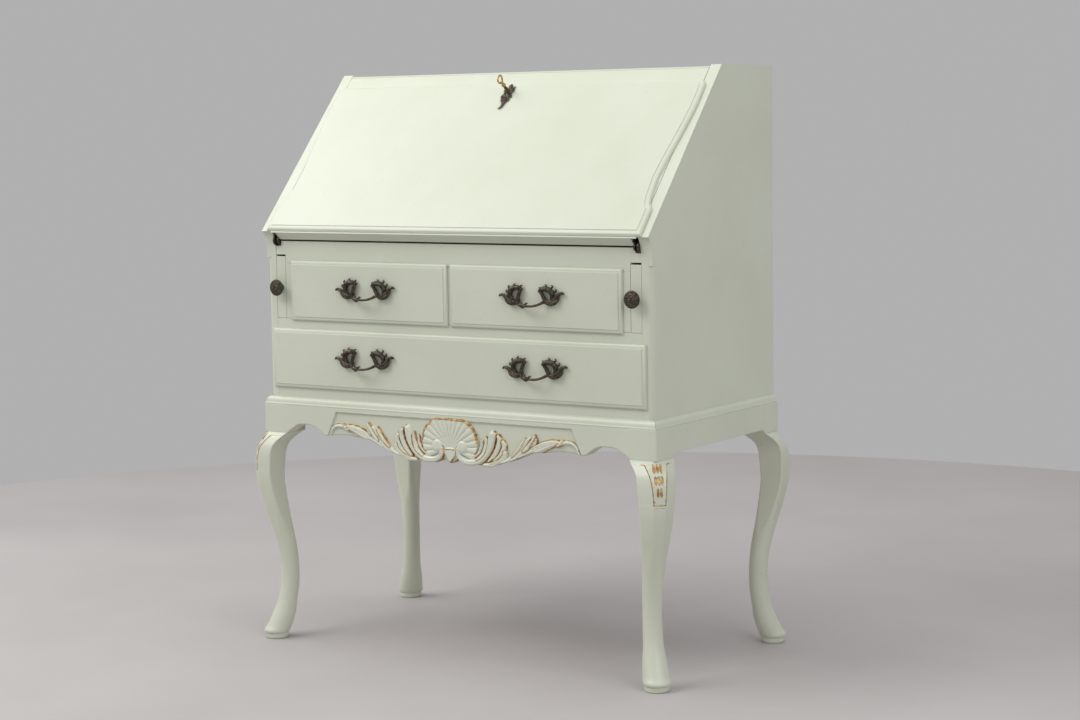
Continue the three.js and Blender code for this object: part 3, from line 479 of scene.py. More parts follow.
def cut_out(mesh, low, high, place):
    """Mesh with a box removed, the box given in a frame that place turns into the desk's."""
    cutter = bpy.data.meshes.new("cutter")
    corners = [place(x, y, z) for x in (low[0], high[0]) for y in (low[1], high[1])
               for z in (low[2], high[2])]
    quads = [(0, 1, 3, 2), (4, 6, 7, 5), (0, 4, 5, 1), (2, 3, 7, 6), (0, 2, 6, 4), (1, 5, 7, 3)]
    cutter.from_pydata([tuple(c * MM for c in p) for p in corners], [], quads)
    held = [bpy.data.objects.new("held", mesh), bpy.data.objects.new("cutter", cutter)]
    for thing in held:
        bpy.context.scene.collection.objects.link(thing)
    change = held[0].modifiers.new("cut", "BOOLEAN")
    change.operation = "DIFFERENCE"
    change.solver = "EXACT"
    change.object = held[1]
    graph = bpy.context.evaluated_depsgraph_get()
    result = bpy.data.meshes.new_from_object(held[0].evaluated_get(graph))
    for thing in held:
        bpy.data.objects.remove(thing)
    return result


KEY_UP = in_flap(np.array(key_joint["pos_m"]))[0]


def cad_copy(node):
    """Copy of a CAD node's mesh with its doubled corners joined."""
    work = bmesh.new()
    work.from_mesh(frame["nodes"][node].data)
    bmesh.ops.remove_doubles(work, verts=work.verts, dist=1e-6)
    mesh = bpy.data.meshes.new(node + "_copy")
    work.to_mesh(mesh)
    work.free()
    mesh.materials.clear()
    return mesh


def flap():
    field = cut_out(flap_field(), (-2, KEY_UP - 10, 15), (2, KEY_UP + 4, 40), on_flap)
    board = cut_out(cad_copy("flap_panel"), (-420, -20, BOARD_FACE - 0.02), (420, 400, 60), on_flap)
    work = bmesh.new()
    work.from_mesh(board)
    bmesh.ops.dissolve_limit(work, angle_limit=math.radians(0.5), verts=work.verts, edges=work.edges)
    for face in work.faces:
        face.material_index = int(face.normal.dot(Vector(OUT)) < -0.9)
    work.to_mesh(board)
    work.free()
    finish_piece("flap_board", board, ["flap_panel"], [PAINTED, WOOD], 30)
    finish_piece("flap_field", field, ["flap_panel"], [PAINTED], 28)


flap()


# ------------------------------------------------------------------ legs
LEG_TOP = 372.0
BLOCK_ROUND = 3.0
# height, outer face, inner face, cut of the outer corner, cut of the others, roundness of the outer corner
LEG = np.array([
    (372.0, 9.0, -41.2, 20.0, 1.0, 1.6), (369.5, 12.5, -39.0, 24.0, 1.0, 0.9),
    (364, 17.2, -33.0, 27.0, 1.2, 0.85), (357, 21.5, -26.3, 24.5, 1.4, 0.4),
    (350, 25.0, -21.8, 22.0, 1.8, 0.15), (340, 27.4, -18.8, 20.0, 2.2, 0.1),
    (325, 28.2, -17.0, 17.5, 2.6, 0.1), (308, 27.8, -16.1, 15.2, 3.0, 0.1),
    (288, 26.2, -15.5, 14.8, 3.4, 0.25), (270, 23.2, -16.8, 15.5, 4.0, 0.45),
    (250, 19.0, -19.0, 15.5, 5.5, 0.6), (220, 11.7, -23.3, 14.0, 9.0, 0.7),
    (190, 5.6, -29.6, 17.0, 17.0, 0.7), (160, 0.3, -32.9, 16.4, 16.4, 0.7),
    (130, -2.4, -34.4, 15.8, 15.8, 0.7), (98, -2.0, -34.0, 15.8, 15.8, 0.7),
    (66, 3.3, -31.3, 17.1, 17.1, 0.7), (42, 11.2, -29.6, 20.2, 20.2, 0.7),
    (22, 18.8, -25.4, 21.9, 21.9, 0.7), (12, 23.0, -22.6, 22.7, 22.7, 0.7),
    (10.2, 22.2, -21.8, 21.9, 21.9, 0.7)])


def leg_profile(heights):
    """The leg's measures at some heights, smooth between the stations."""
    order = np.argsort(LEG[:, 0])
    z = LEG[order, 0]
    out = []
    for column in range(1, 6):
        v = LEG[order, column]
        slope = np.gradient(v, z)
        i = np.clip(np.searchsorted(z, heights) - 1, 0, len(z) - 2)
        h = z[i + 1] - z[i]
        t = (heights - z[i]) / h
        out.append(v[i] * (1 + 2 * t) * (1 - t) ** 2 + v[i + 1] * t * t * (3 - 2 * t)
                   + slope[i] * h * t * (1 - t) ** 2 - slope[i + 1] * h * t * t * (1 - t))
    return np.array(out).T


def corner(tip, along, cut, weight, steps):
    """Points of an eased corner between two places on its sides."""
    t = np.linspace(0, 1, steps)[:, None]
    start, end = tip + along[0] * cut, tip + along[1] * cut
    a, b, c = (1 - t) ** 2, 2 * t * (1 - t) * weight, t ** 2
    return (start * a + tip * b + end * c) / (a + b + c)


PANEL_WIDTH = [(300, 9.3), (305, 9.5), (325, 10.8), (345, 13.2), (358, 16.0), (371, 20.0)]
BAR_ROWS = [(354.0, 368.0, (-5.8, 0, 5.8), 2.75), (336.0, 350.5, (-5.2, 0, 5.2), 2.5),
            (316.5, 332.0, (-2.7, 2.7), 2.5)]


def knee_relief(across, z):
    """Depth cut into the knee, and gilding, from the distance across its corner and the height."""
    width = np.interp(z, [p[0] for p in PANEL_WIDTH], [p[1] for p in PANEL_WIDTH])
    shown = (z > 303.5) & (z < 369.5)
    off = np.abs(across) - width
    shown = shown * np.clip((370.0 - z) / 2.5, 0, 1)
    line = np.exp(-(off / 0.95) ** 2) * shown
    foot = np.exp(-((z - 304.2) / 0.9) ** 2) * (np.abs(across) < 10.2)
    second = np.exp(-((z - 299.7) / 0.8) ** 2) * (np.abs(across) < 8.6)
    ground = -0.9 * shown * np.exp(-(np.minimum(off, 0) / 2.6) ** 2) * (off < 0)
    depth = ground + 1.3 * line + 1.0 * foot + 0.45 * second
    gild = np.maximum.reduce([0.72 * line, 0.9 * foot, 0.6 * second,
                              0.34 * shown * (off < 0) * (off > -2.4)])
    for low, high, places, half in BAR_ROWS:
        for place in places:
            tip = np.clip((z - low) / 4.0, 0, 1) ** 0.6 * np.clip((high - z) / 3.0, 0, 1) ** 0.5
            inside = (z > low) & (z < high)
            reach = np.abs(across - place) / (half * np.maximum(tip, 0.05))
            slot = np.clip(1.0 - reach ** 2, 0, 1) * inside
            depth = depth + 0.9 * slot
            gild = np.maximum(gild, 0.95 * (slot > 0.12))
    return depth, gild


def leg(node, carved):
    low, high = span(node)
    sx = 1 if (low[0] + high[0]) > 0 else -1
    sy = 1 if (low[1] + high[1]) > 0 else -1
    foot = np.array([sx * 393.2, sy * 201.2])
    fine = np.arange(298, LEG_TOP, 0.55) if carved else np.arange(298, LEG_TOP, 2.5)
    heights = np.concatenate([np.arange(10.2, 24, 1.5), np.arange(24, 298, 4.5), fine, [LEG_TOP]])
    rows = leg_profile(heights)
    front_steps, other_steps = (88, 10) if carved else (20, 9)
    rings, gilds = [], []
    for z, (outer, inner, front, other, bend) in zip(heights, rows):
        half, centre = (outer - inner) / 2, (outer + inner) / 2
        tips = [np.array([1, -1]), np.array([1, 1]), np.array([-1, 1]), np.array([-1, -1])]
        alongs = [((-1, 0), (0, 1)), ((0, -1), (-1, 0)), ((1, 0), (0, -1)), ((0, 1), (1, 0))]
        ring = [corner(tip * half, np.array(along, float), front if i == 0 else other,
                       bend if i == 0 else 0.7, front_steps if i == 0 else other_steps)
                for i, (tip, along) in enumerate(zip(tips, alongs))]
        ring = np.vstack(ring) + np.array([centre, -centre])
        gild = np.zeros(len(ring))
        if carved and z >= 298:
            diagonal = np.array([1, -1]) / math.sqrt(2)
            across = (ring @ np.array([1, 1])) / math.sqrt(2)
            near = (ring @ diagonal) > 0
            depth, gild = knee_relief(across, np.full(len(ring), z))
            ring = ring - np.outer(np.where(near, depth, 0), diagonal)
            gild = np.where(near, gild, 0)
        rings.append([(foot[0] + sx * x, foot[1] - sy * y, z) for x, y in ring])
        gilds.append(gild)
    flip = sx * sy > 0
    if flip:
        rings = [ring[::-1] for ring in rings]
        gilds = [g[::-1] for g in gilds]
    vertices, faces = loft(rings)
    # the square block above the knee, its outer corner eased
    outer_x, inner_x, outer_y, inner_y = sx * 401.5, sx * 351.2, sy * 209.5, sy * 159.2
    block = []
    for inset, z in [(0.7, LEG_TOP - 0.6), (0, LEG_TOP + 0.2), (0, LEG_TOP + 1.2), (0, 420.6), (0, 421.4),
                     (0.5, 422.0)]:
        ring = [(inner_x, outer_y - sy * inset), (inner_x, inner_y), (outer_x - sx * inset, inner_y)]
        ring += [(outer_x - sx * (BLOCK_ROUND - (BLOCK_ROUND - inset) * math.cos(a)),
                  outer_y - sy * (BLOCK_ROUND - (BLOCK_ROUND - inset) * math.sin(a)))
                 for a in np.linspace(0, math.pi / 2, 9)]
        block.append([(x, y, z) for x, y in (ring if sx * sy < 0 else ring[::-1])])
    more, quads = loft(block)
    base = len(vertices)
    vertices += more
    faces += [tuple(base + i for i in q) for q in quads]
    # the disc under the foot
    disc = []
    for radius, z in [(18.6, 0), (19.9, 0.7), (20.5, 2.2), (20.5, 8.4), (20.0, 9.8), (19.0, 10.6)]:
        disc.append([(foot[0] + radius * math.cos(a), foot[1] + radius * math.sin(a), z)
                     for a in np.linspace(0, 2 * math.pi, 48, endpoint=False)])
    more, quads = loft(disc)
    base = len(vertices)
    vertices += more
    faces += [tuple(base + i for i in q) for q in quads]
    mesh = mesh_from(node, vertices, faces)
    values = np.concatenate([np.concatenate(gilds), np.zeros(len(mesh.vertices) - sum(map(len, gilds)))])
    mesh.attributes.new("gild", "FLOAT", "POINT").data.foreach_set("value", values.astype(np.float32))
    # the legs get no painted highlight: its share is zero everywhere
    painted_highlight = mesh.attributes.new("painted_highlight", "FLOAT", "POINT").data
    painted_highlight.foreach_set("value", np.zeros(len(values), np.float32))
    finish_piece(node + "_carved" if carved else node + "_turned", mesh, [node],
                 [GILDED if carved else PAINTED], 50)


for side in ("left", "right"):
    leg(f"leg_front_{side}", True)
    leg(f"leg_back_{side}", False)


# ------------------------------------------------------------------ carved front apron
APRON_TOP = span("front_apron")[1]
APRON_FRONT = -209.5
LOWER_EDGE = [
    (0, 341.6), (5, 343.2), (11, 347), (17, 349.5), (22, 345), (30, 341.6), (44, 341), (56, 342.5),
    (64, 341.2), (76, 340.8), (88, 342.5), (98, 347), (112, 350), (128, 355), (146, 362.5), (160, 368),
    (171, 371), (186, 371.4), (200, 373.5), (222, 375.5), (240, 375), (252, 373.4), (265, 372.2),
    (271, 375), (278, 380), (290, 386.6), (305, 389), (326, 387.6), (337, 381.5), (344, 377.4),
    (351.2, 372.2)]
# Strokes of the carving on one half: points (x, z, half width), height over the ground, gold on each side.
STROKES = [
    ([(17, 367, 4.5), (18, 356, 5), (28, 348, 5.5), (44, 346, 6), (60, 350, 6.5), (73, 361, 7),
      (82, 376, 7.6), (86, 390, 8), (87, 395, 7.4)], 6.6, 0.0, 0.95),
    ([(56, 353, 2.5), (66, 361, 3.6), (72, 373, 4), (75, 385, 3.2), (74, 390, 2)], 5.0, 0.9, 0.8),
    ([(50, 356, 2), (59, 364, 3), (64, 374, 3.2), (65, 384, 2.4)], 4.2, 0.9, 0.5),
    ([(80, 351, 3.4), (91, 362, 5), (98, 375, 5.4), (101, 387, 5), (99, 393, 4)], 5.8, 0.95, 0.9),
    ([(84, 347, 3.4), (97, 355, 5), (106, 366, 5.4), (110, 377, 5), (108, 384, 4)], 5.4, 0.9, 0.7),
    ([(70, 344, 3.4), (86, 345, 5), (100, 350, 5.4), (110, 359, 5), (112, 367, 4)], 5.2, 0.7, 0.5),
    ([(102, 347, 3), (118, 353, 6), (134, 363, 8), (147, 375, 8), (155, 386, 6), (161, 393, 3.4)],
     6.0, 0.4, 0.8),
    ([(126, 362, 2), (140, 376, 3.4), (148, 387, 3.4), (152, 393, 2)], 6.4, 0.9, 0.6),
    ([(150, 372, 3), (160, 381, 4.6), (167, 390, 4.2), (171, 398, 2.6)], 6.8, 0.9, 0.9),
    ([(160, 372, 2.4), (167, 380, 3.6), (172, 388, 3.2), (174, 393, 2)], 5.0, 0.6, 0.8),
    ([(140, 361, 3), (158, 368, 6), (176, 376, 7.4), (192, 383, 7.4), (207, 388, 5.4), (221, 390.5, 3.4)],
     5.6, 0.3, 0.85),
    ([(166, 378, 2), (184, 386, 3), (202, 391, 3), (216, 392.6, 2)], 5.2, 0.8, 0.4),
    ([(214, 385, 2), (221, 389, 3.6), (224, 393, 2.6)], 5.6, 0.7, 0.9),
    ([(220, 389, 3), (232, 391.4, 3.2), (243, 390, 3), (251, 384, 2.6), (254, 377, 2.2), (257, 373, 1.8)],
     4.0, 0.6, 0.3),
    ([(8, 366, 1.6), (0, 367, 1.6), (-8, 366, 1.6)], 4.6, 0.6, 0.2),
]
SHELL_FOOT = np.array([0.0, 368.0])
SHELL_RIM = [(-20, 52), (0, 55), (12, 57.5), (29, 59.5), (42, 58.5), (56, 57), (64, 53.2), (75, 49.6),
             (90, 48.2)]
VOLUTE = (26.0, 370.5, 11.5)


def along_stroke(x, z, points):
    """Distance from a stroke over its half width there, and the side of it, for grids of x and z."""
    line = spline(points, 6 * len(points))
    best = np.full(x.shape, 1e9)
    side = np.zeros(x.shape)
    reach = np.zeros(x.shape)
    for (ax, az, aw), (bx, bz, bw) in zip(line[:-1], line[1:]):
        dx, dz = bx - ax, bz - az
        t = np.clip(((x - ax) * dx + (z - az) * dz) / (dx * dx + dz * dz), 0, 1)
        px, pz = x - (ax + t * dx), z - (az + t * dz)
        ratio = np.hypot(px, pz) / (aw + t * (bw - aw))
        nearer = ratio < best
        best = np.where(nearer, ratio, best)
        side = np.where(nearer, np.sign(dx * pz - dz * px), side)
        reach = np.where(nearer, aw + t * (bw - aw), reach)
    return best, side, reach


def apron_relief(x, z, low):
    """Height over the apron's face, gilding and the share of painted highlight on the raised carving, for grids of
    x and z.
    """
    ax = np.abs(x)
    end = 242 + (415 - z) * 13 / 30
    recess = np.clip((end - ax) / 0.9, 0, 1) * np.clip((415 - z) / 0.9, 0, 1)
    height = -3.2 * recess
    gild = np.zeros(x.shape)
    # shell
    dx, dz = ax - SHELL_FOOT[0], z - SHELL_FOOT[1]
    radius, angle = np.hypot(dx, dz), np.degrees(np.arctan2(dz, np.maximum(ax, 1e-6)))
    rim = np.interp(angle, [p[0] for p in SHELL_RIM], [p[1] for p in SHELL_RIM])
    lobe = (angle - 90) / 13.2
    ridge = np.abs(np.cos(math.pi * lobe))
    share = radius / rim
    scallop = 1 - 0.012 * (1 - ridge)
    inside = (share < scallop) & (angle > -22)
    swell = 1.2 + 2.2 * np.sin(np.clip(share, 0, 1) * math.pi * 0.62)
    shell = swell - 1.5 * (1 - ridge ** 0.7) * np.clip(share * 1.6, 0, 1)
    pricks = np.exp(-(((lobe - np.floor(lobe)) - 0.5) / 0.09) ** 2)
    pricks = pricks * (np.sin(radius * 1.3) > 0.3) * (share > 0.35)
    shell = shell - 0.9 * pricks
    height = np.where(inside, np.maximum(height, -3.2 + shell + 1.0), height)
    gild = np.maximum(gild, 0.42 * pricks * inside)
    on_rim = np.exp(-((share - scallop) / 0.05) ** 2) * (angle > 8)
    gild = np.maximum(gild, np.where(x > 0, 0.95, 0.72) * on_rim * (angle > 10))
    height = np.where(on_rim > 0.4, np.maximum(height, -0.6), height)
    # strokes
    for points, top, gold_left, gold_right in STROKES:
        ratio, side, reach = along_stroke(ax, z, points)
        dome = np.sqrt(np.clip(1 - ratio ** 2, 0, 1))
        crease = 0.16 * top * np.exp(-(ratio / 0.16) ** 2) * (reach > 4.4)
        level = -3.2 + top * dome - crease
        taken = (ratio < 1) & (level > height)
        height = np.where(taken, level, height)
        gild = np.where(taken, 0, gild)
        edge = np.exp(-((ratio * reach - reach - 0.1) / 1.25) ** 2)
        gold = np.where(side > 0, gold_left, gold_right) * edge
        gild = np.where(taken | (ratio < 1.5), np.maximum(gild, gold), gild)
    # pendant between the volutes: a shield ending in a gilded point
    shield = (366 - z) / 24.0
    flank = 17.5 * (1 - np.clip(shield, 0, 1)) ** 0.8 - ax
    on_shield = (flank > 0) & (z < 366)
    height = np.where(on_shield, np.maximum(height, -3.2 + 3.4 * np.clip(flank / 2.0, 0, 1)), height)
    gild = np.maximum(gild, 0.95 * np.exp(-((flank - 1.2) / 1.3) ** 2) * (z < 352) * (z > 340))
    gild = np.maximum(gild, 0.6 * np.exp(-((z - 365.6) / 0.8) ** 2) * (ax < 15))
    # volutes
    vx, vz, vr = VOLUTE
    rho, turn = np.hypot(ax - vx, z - vz), np.arctan2(z - vz, ax - vx)
    disc = np.sqrt(np.clip(1 - (rho / vr) ** 4, 0, 1)) * 6.4
    spiral = np.exp(-((rho - (vr * 0.62 - 1.0 * turn)) / 0.6) ** 2) * (rho < vr * 0.95)
    taken = (rho < vr) & (-3.2 + disc > height)
    height = np.where(taken, -3.2 + disc - 0.8 * spiral, height)
    gild = np.where(taken, 0.25 * spiral, gild)
    gild = np.maximum(gild, 0.55 * np.exp(-((rho - vr - 0.2) / 0.7) ** 2) * (np.abs(ax - vx) < vr)
                      * (z > vz))
    # the lower edge is turned over a little, and gilded at the pendant
    drop = z - low
    height = height - 1.6 * np.exp(-(drop / 0.9) ** 2)
    gild = np.maximum(gild, 0.9 * np.exp(-(drop / 1.6) ** 2) * (ax < 15))
    gild = np.maximum(gild, 0.6 * np.exp(-(drop / 1.0) ** 2) * (ax > 100) * (ax < 215))
    # painted highlight share: the higher the carving stands in the recess, the lighter it is painted
    raised_highlight = np.clip((height + 2.6) / 2.5, 0, 1) * (recess > 0.5) * (ax < 262)
    return height, np.clip(gild, 0, 1), raised_highlight


def front_apron():
    half = 351.2
    columns = np.linspace(-half, half, 781)
    rows = 92
    edge = spline(LOWER_EDGE, 400)
    low = np.interp(np.abs(columns), edge[:, 0], edge[:, 1])
    x = np.tile(columns, (rows, 1))
    share = np.linspace(0, 1, rows)[:, None]
    z = low[None, :] + share * (422.0 - low[None, :])
    height, gild, raised_highlight = apron_relief(x, z, low[None, :])
    y = APRON_FRONT - height
    count = len(columns)
    vertices = list(zip(x.ravel(), y.ravel(), z.ravel()))
    faces = grid_faces(rows, count)
    back = APRON_TOP[1]
    base = len(vertices)
    vertices += [(cx, back, cz) for cx, cz in zip(columns, low)]
    vertices += [(cx, back, 422.0) for cx in columns]
    top_front = (rows - 1) * count
    for i in range(count - 1):
        faces.append((i + 1, i, base + i, base + i + 1))
        faces.append((base + i + 1, base + i, base + count + i, base + count + i + 1))
        faces.append((top_front + i, top_front + i + 1, base + count + i + 1, base + count + i))
    for column, flip in ((0, False), (count - 1, True)):
        loop = [r * count + column for r in range(rows)] + [base + count + column, base + column]
        faces.append(tuple(loop if flip else reversed(loop)))
    mesh = mesh_from("front_apron", vertices, faces)
    work = bmesh.new()
    work.from_mesh(mesh)
    bmesh.ops.recalc_face_normals(work, faces=work.faces)
    work.to_mesh(mesh)
    work.free()
    extra = np.zeros(2 * count)
    # gilding, and the painted highlight share scaled by CARVING_SHEEN, go into point attributes
    for name, values in (("gild", gild), ("painted_highlight", CARVING_SHEEN * raised_highlight)):
        data = np.concatenate([values.ravel(), extra]).astype(np.float32)
        mesh.attributes.new(name, "FLOAT", "POINT").data.foreach_set("value", data)
    finish_piece("front_apron_carving", mesh, ["front_apron"], [GILDED], 55, level=False)


front_apron()


# ------------------------------------------------------------------ brassware
def stroke_tube(points, samples=22, sides=12, flatten=1.0):
    """Skin of a swept stroke: points (x, y, z, radius), rounded at both ends."""
    line = spline(points, samples)
    centre, radius = line[:, :3], np.maximum(line[:, 3], 0.25)
    tangent = np.gradient(centre, axis=0)
    tangent /= np.linalg.norm(tangent, axis=1)[:, None]
    rings = []
    cap = [(-1.0, 0.15), (-0.8, 0.6), (-0.4, 0.92)]
    order = [(0, c * radius[0], f) for c, f in cap] + [(i, 0.0, 1.0) for i in range(len(centre))]
    order += [(len(centre) - 1, -c * radius[-1], f) for c, f in reversed(cap)]
    for i, shift, factor in order:
        t = tangent[i]
        side = np.cross(t, (0, 1, 0))
        side /= max(np.linalg.norm(side), 1e-6)
        depth = np.cross(side, t)
        r = radius[i] * factor
        middle = centre[i] + t * shift
        rings.append([tuple(middle + side * r * math.cos(a) + depth * r * flatten * math.sin(a))
                      for a in np.linspace(0, 2 * math.pi, sides, endpoint=False)])
    return loft(rings)


def gather(shapes):
    """Several (vertices, faces) shapes as one."""
    vertices, faces = [], []
    for points, quads in shapes:
        base = len(vertices)
        vertices += list(points)
        faces += [tuple(base + i for i in q) for q in quads]
    return vertices, faces


SCROLL = [
    [(38, -3.5, -9, 4.2), (46, -4.2, -4, 4.2), (50, -4.6, 1.5, 3.4), (54, -4.6, 5.4, 3.0),
     (59.5, -4.4, 7.4, 2.6), (62.6, -3.6, 6.2, 1.9)],
    [(27, -4, -9, 3.4), (36, -4.4, -11.5, 4.4), (45, -4.4, -9.5, 4.2), (51, -3.8, -4.5, 3),
     (53, -3, 0.5, 1.8)],
    [(40, -4, -4, 3.4), (41.5, -5, 4, 4.2), (37.5, -6, 11.5, 4.9), (29.5, -6.4, 14.2, 5.0),
     (21.5, -6, 13, 4.3), (16, -5, 9.4, 2.4)],
    [(17, -5, 10.5, 2.8), (22, -5.2, 4, 3.2), (25.5, -5.4, -2.5, 3.3), (29, -5.2, -9, 3.4)],
    [(44, -3.4, 8, 1.6), (47.6, -3.4, 10.6, 1.9), (47.8, -3, 13.4, 1.1)],
    [(39, -4, 15, 1.8), (41.6, -4, 18, 1.7), (40, -3.6, 20.4, 0.9)],
    [(29, -4.4, 17, 1.9), (29.6, -4.4, 20, 1.6), (27, -4, 21.4, 0.8)],
    [(19, -4, 12, 1.8), (17, -4, 15.4, 1.5), (14.4, -3.6, 15.8, 0.8)],
    [(33, -6.8, -12.5, 1.3), (41, -7.4, -12.2, 1.5), (48, -6.6, -8, 1.2)],
    [(31, -7.4, -8.8, 1.2), (39, -8, -8, 1.5), (46, -7.4, -3.5, 1.1)],
    [(41, -8.6, 3, 1.2), (38, -10.6, 10.8, 1.7), (30, -11.2, 14, 1.8), (21.5, -10, 12.6, 1.4)],
]
BOW = [
    (-28, -4.5, -9, 3.0), (-24, -8, -12.6, 2.7), (-15, -15.2, -15.6, 2.4), (-3, -17.2, -16, 2.3),
    (8, -17.2, -16, 2.2), (17, -14.6, -14, 2.3), (23.5, -9, -10.5, 2.7), (28, -4.5, -7, 3.0)]
CLASP = [
    [(-20, -12.6, -14.6, 2.4), (-14, -16.2, -14.4, 3.6), (-8, -17.4, -15.2, 3.4), (-2, -17.4, -16.2, 1.9)],
    [(-12, -16, -13, 1.8), (-13.4, -16, -10.4, 1.8), (-11.4, -15.6, -8.8, 1.0)],
    [(-5, -16.8, -14, 1.7), (-2.4, -16.8, -11.2, 1.7), (0.4, -16.4, -11.4, 0.9)],
    [(-14, -15.8, -17.2, 1.6), (-10.4, -16, -19.2, 1.5), (-7, -16, -18.6, 1.0)],
]


def tilted(points, degrees, about):
    """Stroke mirrored to the left and turned about a place in the drawer front's plane."""
    a = math.radians(degrees)
    out = []
    for x, y, z, r in points:
        dx, dz = -x - about[0], z - about[1]
        out.append((about[0] + dx * math.cos(a) - dz * math.sin(a), y,
                    about[1] + dx * math.sin(a) + dz * math.cos(a), r))
    return out


def handle(node):
    low, high = span(node)
    middle = np.array([(low[0] + high[0]) / 2, high[1], (low[2] + high[2]) / 2 + 0.5])
    strokes = [*SCROLL, *[tilted(s, 12, (-32, 0)) for s in SCROLL], BOW, *CLASP]
    vertices, faces = gather([stroke_tube(s) for s in strokes])
    vertices = [tuple(np.array(v) * (0.985, 1, 0.93) + middle) for v in vertices]
    finish_piece(node + "_cast", mesh_from(node, vertices, faces), [node], [BRONZE], 60, level=False)


for grip in ("handle_upper_left", "handle_upper_right", "handle_lower_left", "handle_lower_right"):
    handle(grip)


def turned(profile, centre, sides=64, ripple=None):
    """Shape turned about a line along Y through a point: profile (radius, distance out)."""
    rings = []
    for radius, out in profile:
        ring = []
        for a in np.linspace(0, 2 * math.pi, sides, endpoint=False):
            extra = ripple(radius, a) if ripple else 0.0
            ring.append((centre[0] + radius * math.cos(a), centre[1] - out - extra,
                         centre[2] + radius * math.sin(a)))
        rings.append(ring)
    return loft(rings)


def rosette(radius, angle):
    """Chased petals on a knob's face."""
    if radius > 12.9:
        return 0.35 * abs(math.sin(14 * angle))
    ring = math.cos(radius * 1.55)
    return 0.42 * ring * math.cos(9 * angle + radius * 0.9) + 0.25 * ring


def loper_knob(node):
    low, high = span(node)
    centre = ((low[0] + high[0]) / 2, high[1], (low[2] + high[2]) / 2)
    profile = [(5.6, 0), (6.0, 0.6), (4.6, 2.6), (4.3, 5.5), (5.6, 8.6), (10.5, 10.6), (13.2, 11.8),
               (14.3, 13.0), (14.4, 14.2), (13.6, 15.2)]
    face = [(r, 15.2 + 2.9 * (1 - (r / 13.2) ** 2)) for r in np.linspace(13.1, 0.3, 26)]
    shape = turned(profile + face, centre, 84, lambda r, a: rosette(r, a) if r < 13.15 else 0.0)
    finish_piece(node + "_cast", mesh_from(node, *shape),
                 [node], [BRONZE], 60, level=False)


def inner_knob(node):
    low, high = span(node)
    centre = ((low[0] + high[0]) / 2, high[1], (low[2] + high[2]) / 2)
    profile = [(3.5, 0), (3.4, 0.6), (2.6, 2.2), (2.5, 4.2), (3.4, 6.2), (6.0, 7.6), (7.0, 9.2),
               (6.6, 11.0), (4.6, 12.4), (2.2, 13.1), (0.2, 13.3)]
    finish_piece(node + "_turned", mesh_from(node, *turned(profile, centre, 40)), [node], [BRASS], 60,
                 level=False)


for side in ("left", "right"):
    loper_knob(f"loper_knob_{side}")
    inner_knob(f"inner_knob_{side}")


def leafy_escutcheon():
    """Keyhole plate: an oval with a leaf crest above and a curling tail below."""
    def place(v):
        x, out, up = v
        return on_flap(x, KEY_UP + up, FIELD_FACE + 0.3 + out)
    ring = [(6.4 * math.cos(a), 1.5, 1.0 + 8.4 * math.sin(a) - 2, 2.3)
            for a in np.linspace(0, 2 * math.pi, 15)]
    half = [
        [(0, 1.2, 8, 2.4), (1.6, 1.8, 13, 2.6), (0.6, 1.6, 17.5, 1.6), (0, 1.2, 19.4, 0.7)],
        [(4, 1.2, 6, 2.0), (7.4, 1.6, 10, 2.0), (9.4, 1.2, 13, 1.0)],
        [(6, 1.2, 1, 2.0), (9, 1.6, 3.6, 1.8), (10.4, 1.2, 6.4, 0.9)],
        [(6, 1.2, -5, 2.0), (9, 1.6, -8, 1.9), (10.4, 1.2, -12, 0.9)],
        [(4, 1.2, -10, 2.2), (6.6, 1.6, -15, 2.1), (6.4, 1.4, -20, 1.1)],
        [(0, 1.2, -12, 2.8), (1.8, 1.8, -20, 2.6), (0.8, 1.6, -28, 2.1), (0, 1.4, -33, 1.6)],
    ]
    strokes = [ring, *half, *[[(-x, y, z, r) for x, y, z, r in s] for s in half],
               [(0, 1.4, -32, 1.7), (-2.4, 1.6, -35.4, 1.7), (-5.0, 1.4, -36.2, 1.3)]]
    vertices, faces = gather([stroke_tube(s, 26, 10, 0.62) for s in strokes])
    mesh = mesh_from("escutcheon", [place(v) for v in vertices], faces)
    work = bmesh.new()
    work.from_mesh(mesh)
    bmesh.ops.recalc_face_normals(work, faces=work.faces)
    work.to_mesh(mesh)
    work.free()
    finish_piece("escutcheon_leaf", mesh, ["escutcheon"], [BRONZE], 60, level=False)


leafy_escutcheon()


def key():
    """Key: turned shank, square bit, and a pierced bow of two loops."""
    head = FIELD_FACE + 42
    shank = [(0.4, 3.2), (2.2, 3.3), (2.6, 3.8), (2.6, head - 24), (3.4, head - 23.2),
             (4.0, head - 21.4), (3.2, head - 20), (2.4, head - 19), (2.2, head - 15.6),
             (3.0, head - 14.6), (3.3, head - 13.8), (0.5, head - 12.8)]
    rings = [[(r * math.cos(a), KEY_UP + r * math.sin(a), out)
              for a in np.linspace(0, 2 * math.pi, 28, endpoint=False)]
             for r, out in shank]
    bow = [(0, 6.6 * math.sin(a) * (1 - 0.18 * math.cos(a)), -6.6 * math.cos(a), 1.7)
           for a in np.linspace(0.12, 2 * math.pi - 0.12, 16)]
    loops = stroke_tube([(z, 0.0, y, r) for x, y, z, r in bow], 44, 10, 0.85)
    bow_points = [(v[1], KEY_UP + v[2], head - 7.6 + v[0]) for v in loops[0]]
    bit = loft([[(x, KEY_UP + y, z) for x, y in ((-1.1, -8.4), (1.1, -8.4), (1.1, 0), (-1.1, 0))]
                for z in (3.3, 7.5)])
    vertices, faces = gather([loft(rings), (bow_points, loops[1]), bit])
    mesh = mesh_from("key", [on_flap(*v) for v in vertices], faces)
    work = bmesh.new()
    work.from_mesh(mesh)
    bmesh.ops.recalc_face_normals(work, faces=work.faces)
    work.to_mesh(mesh)
    work.free()
    finish_piece("key_turned", mesh, ["key"], [BRASS], 50, level=False)


key()


# ------------------------------------------------------------------ studio
FLOOR_RADIUS = 2.3


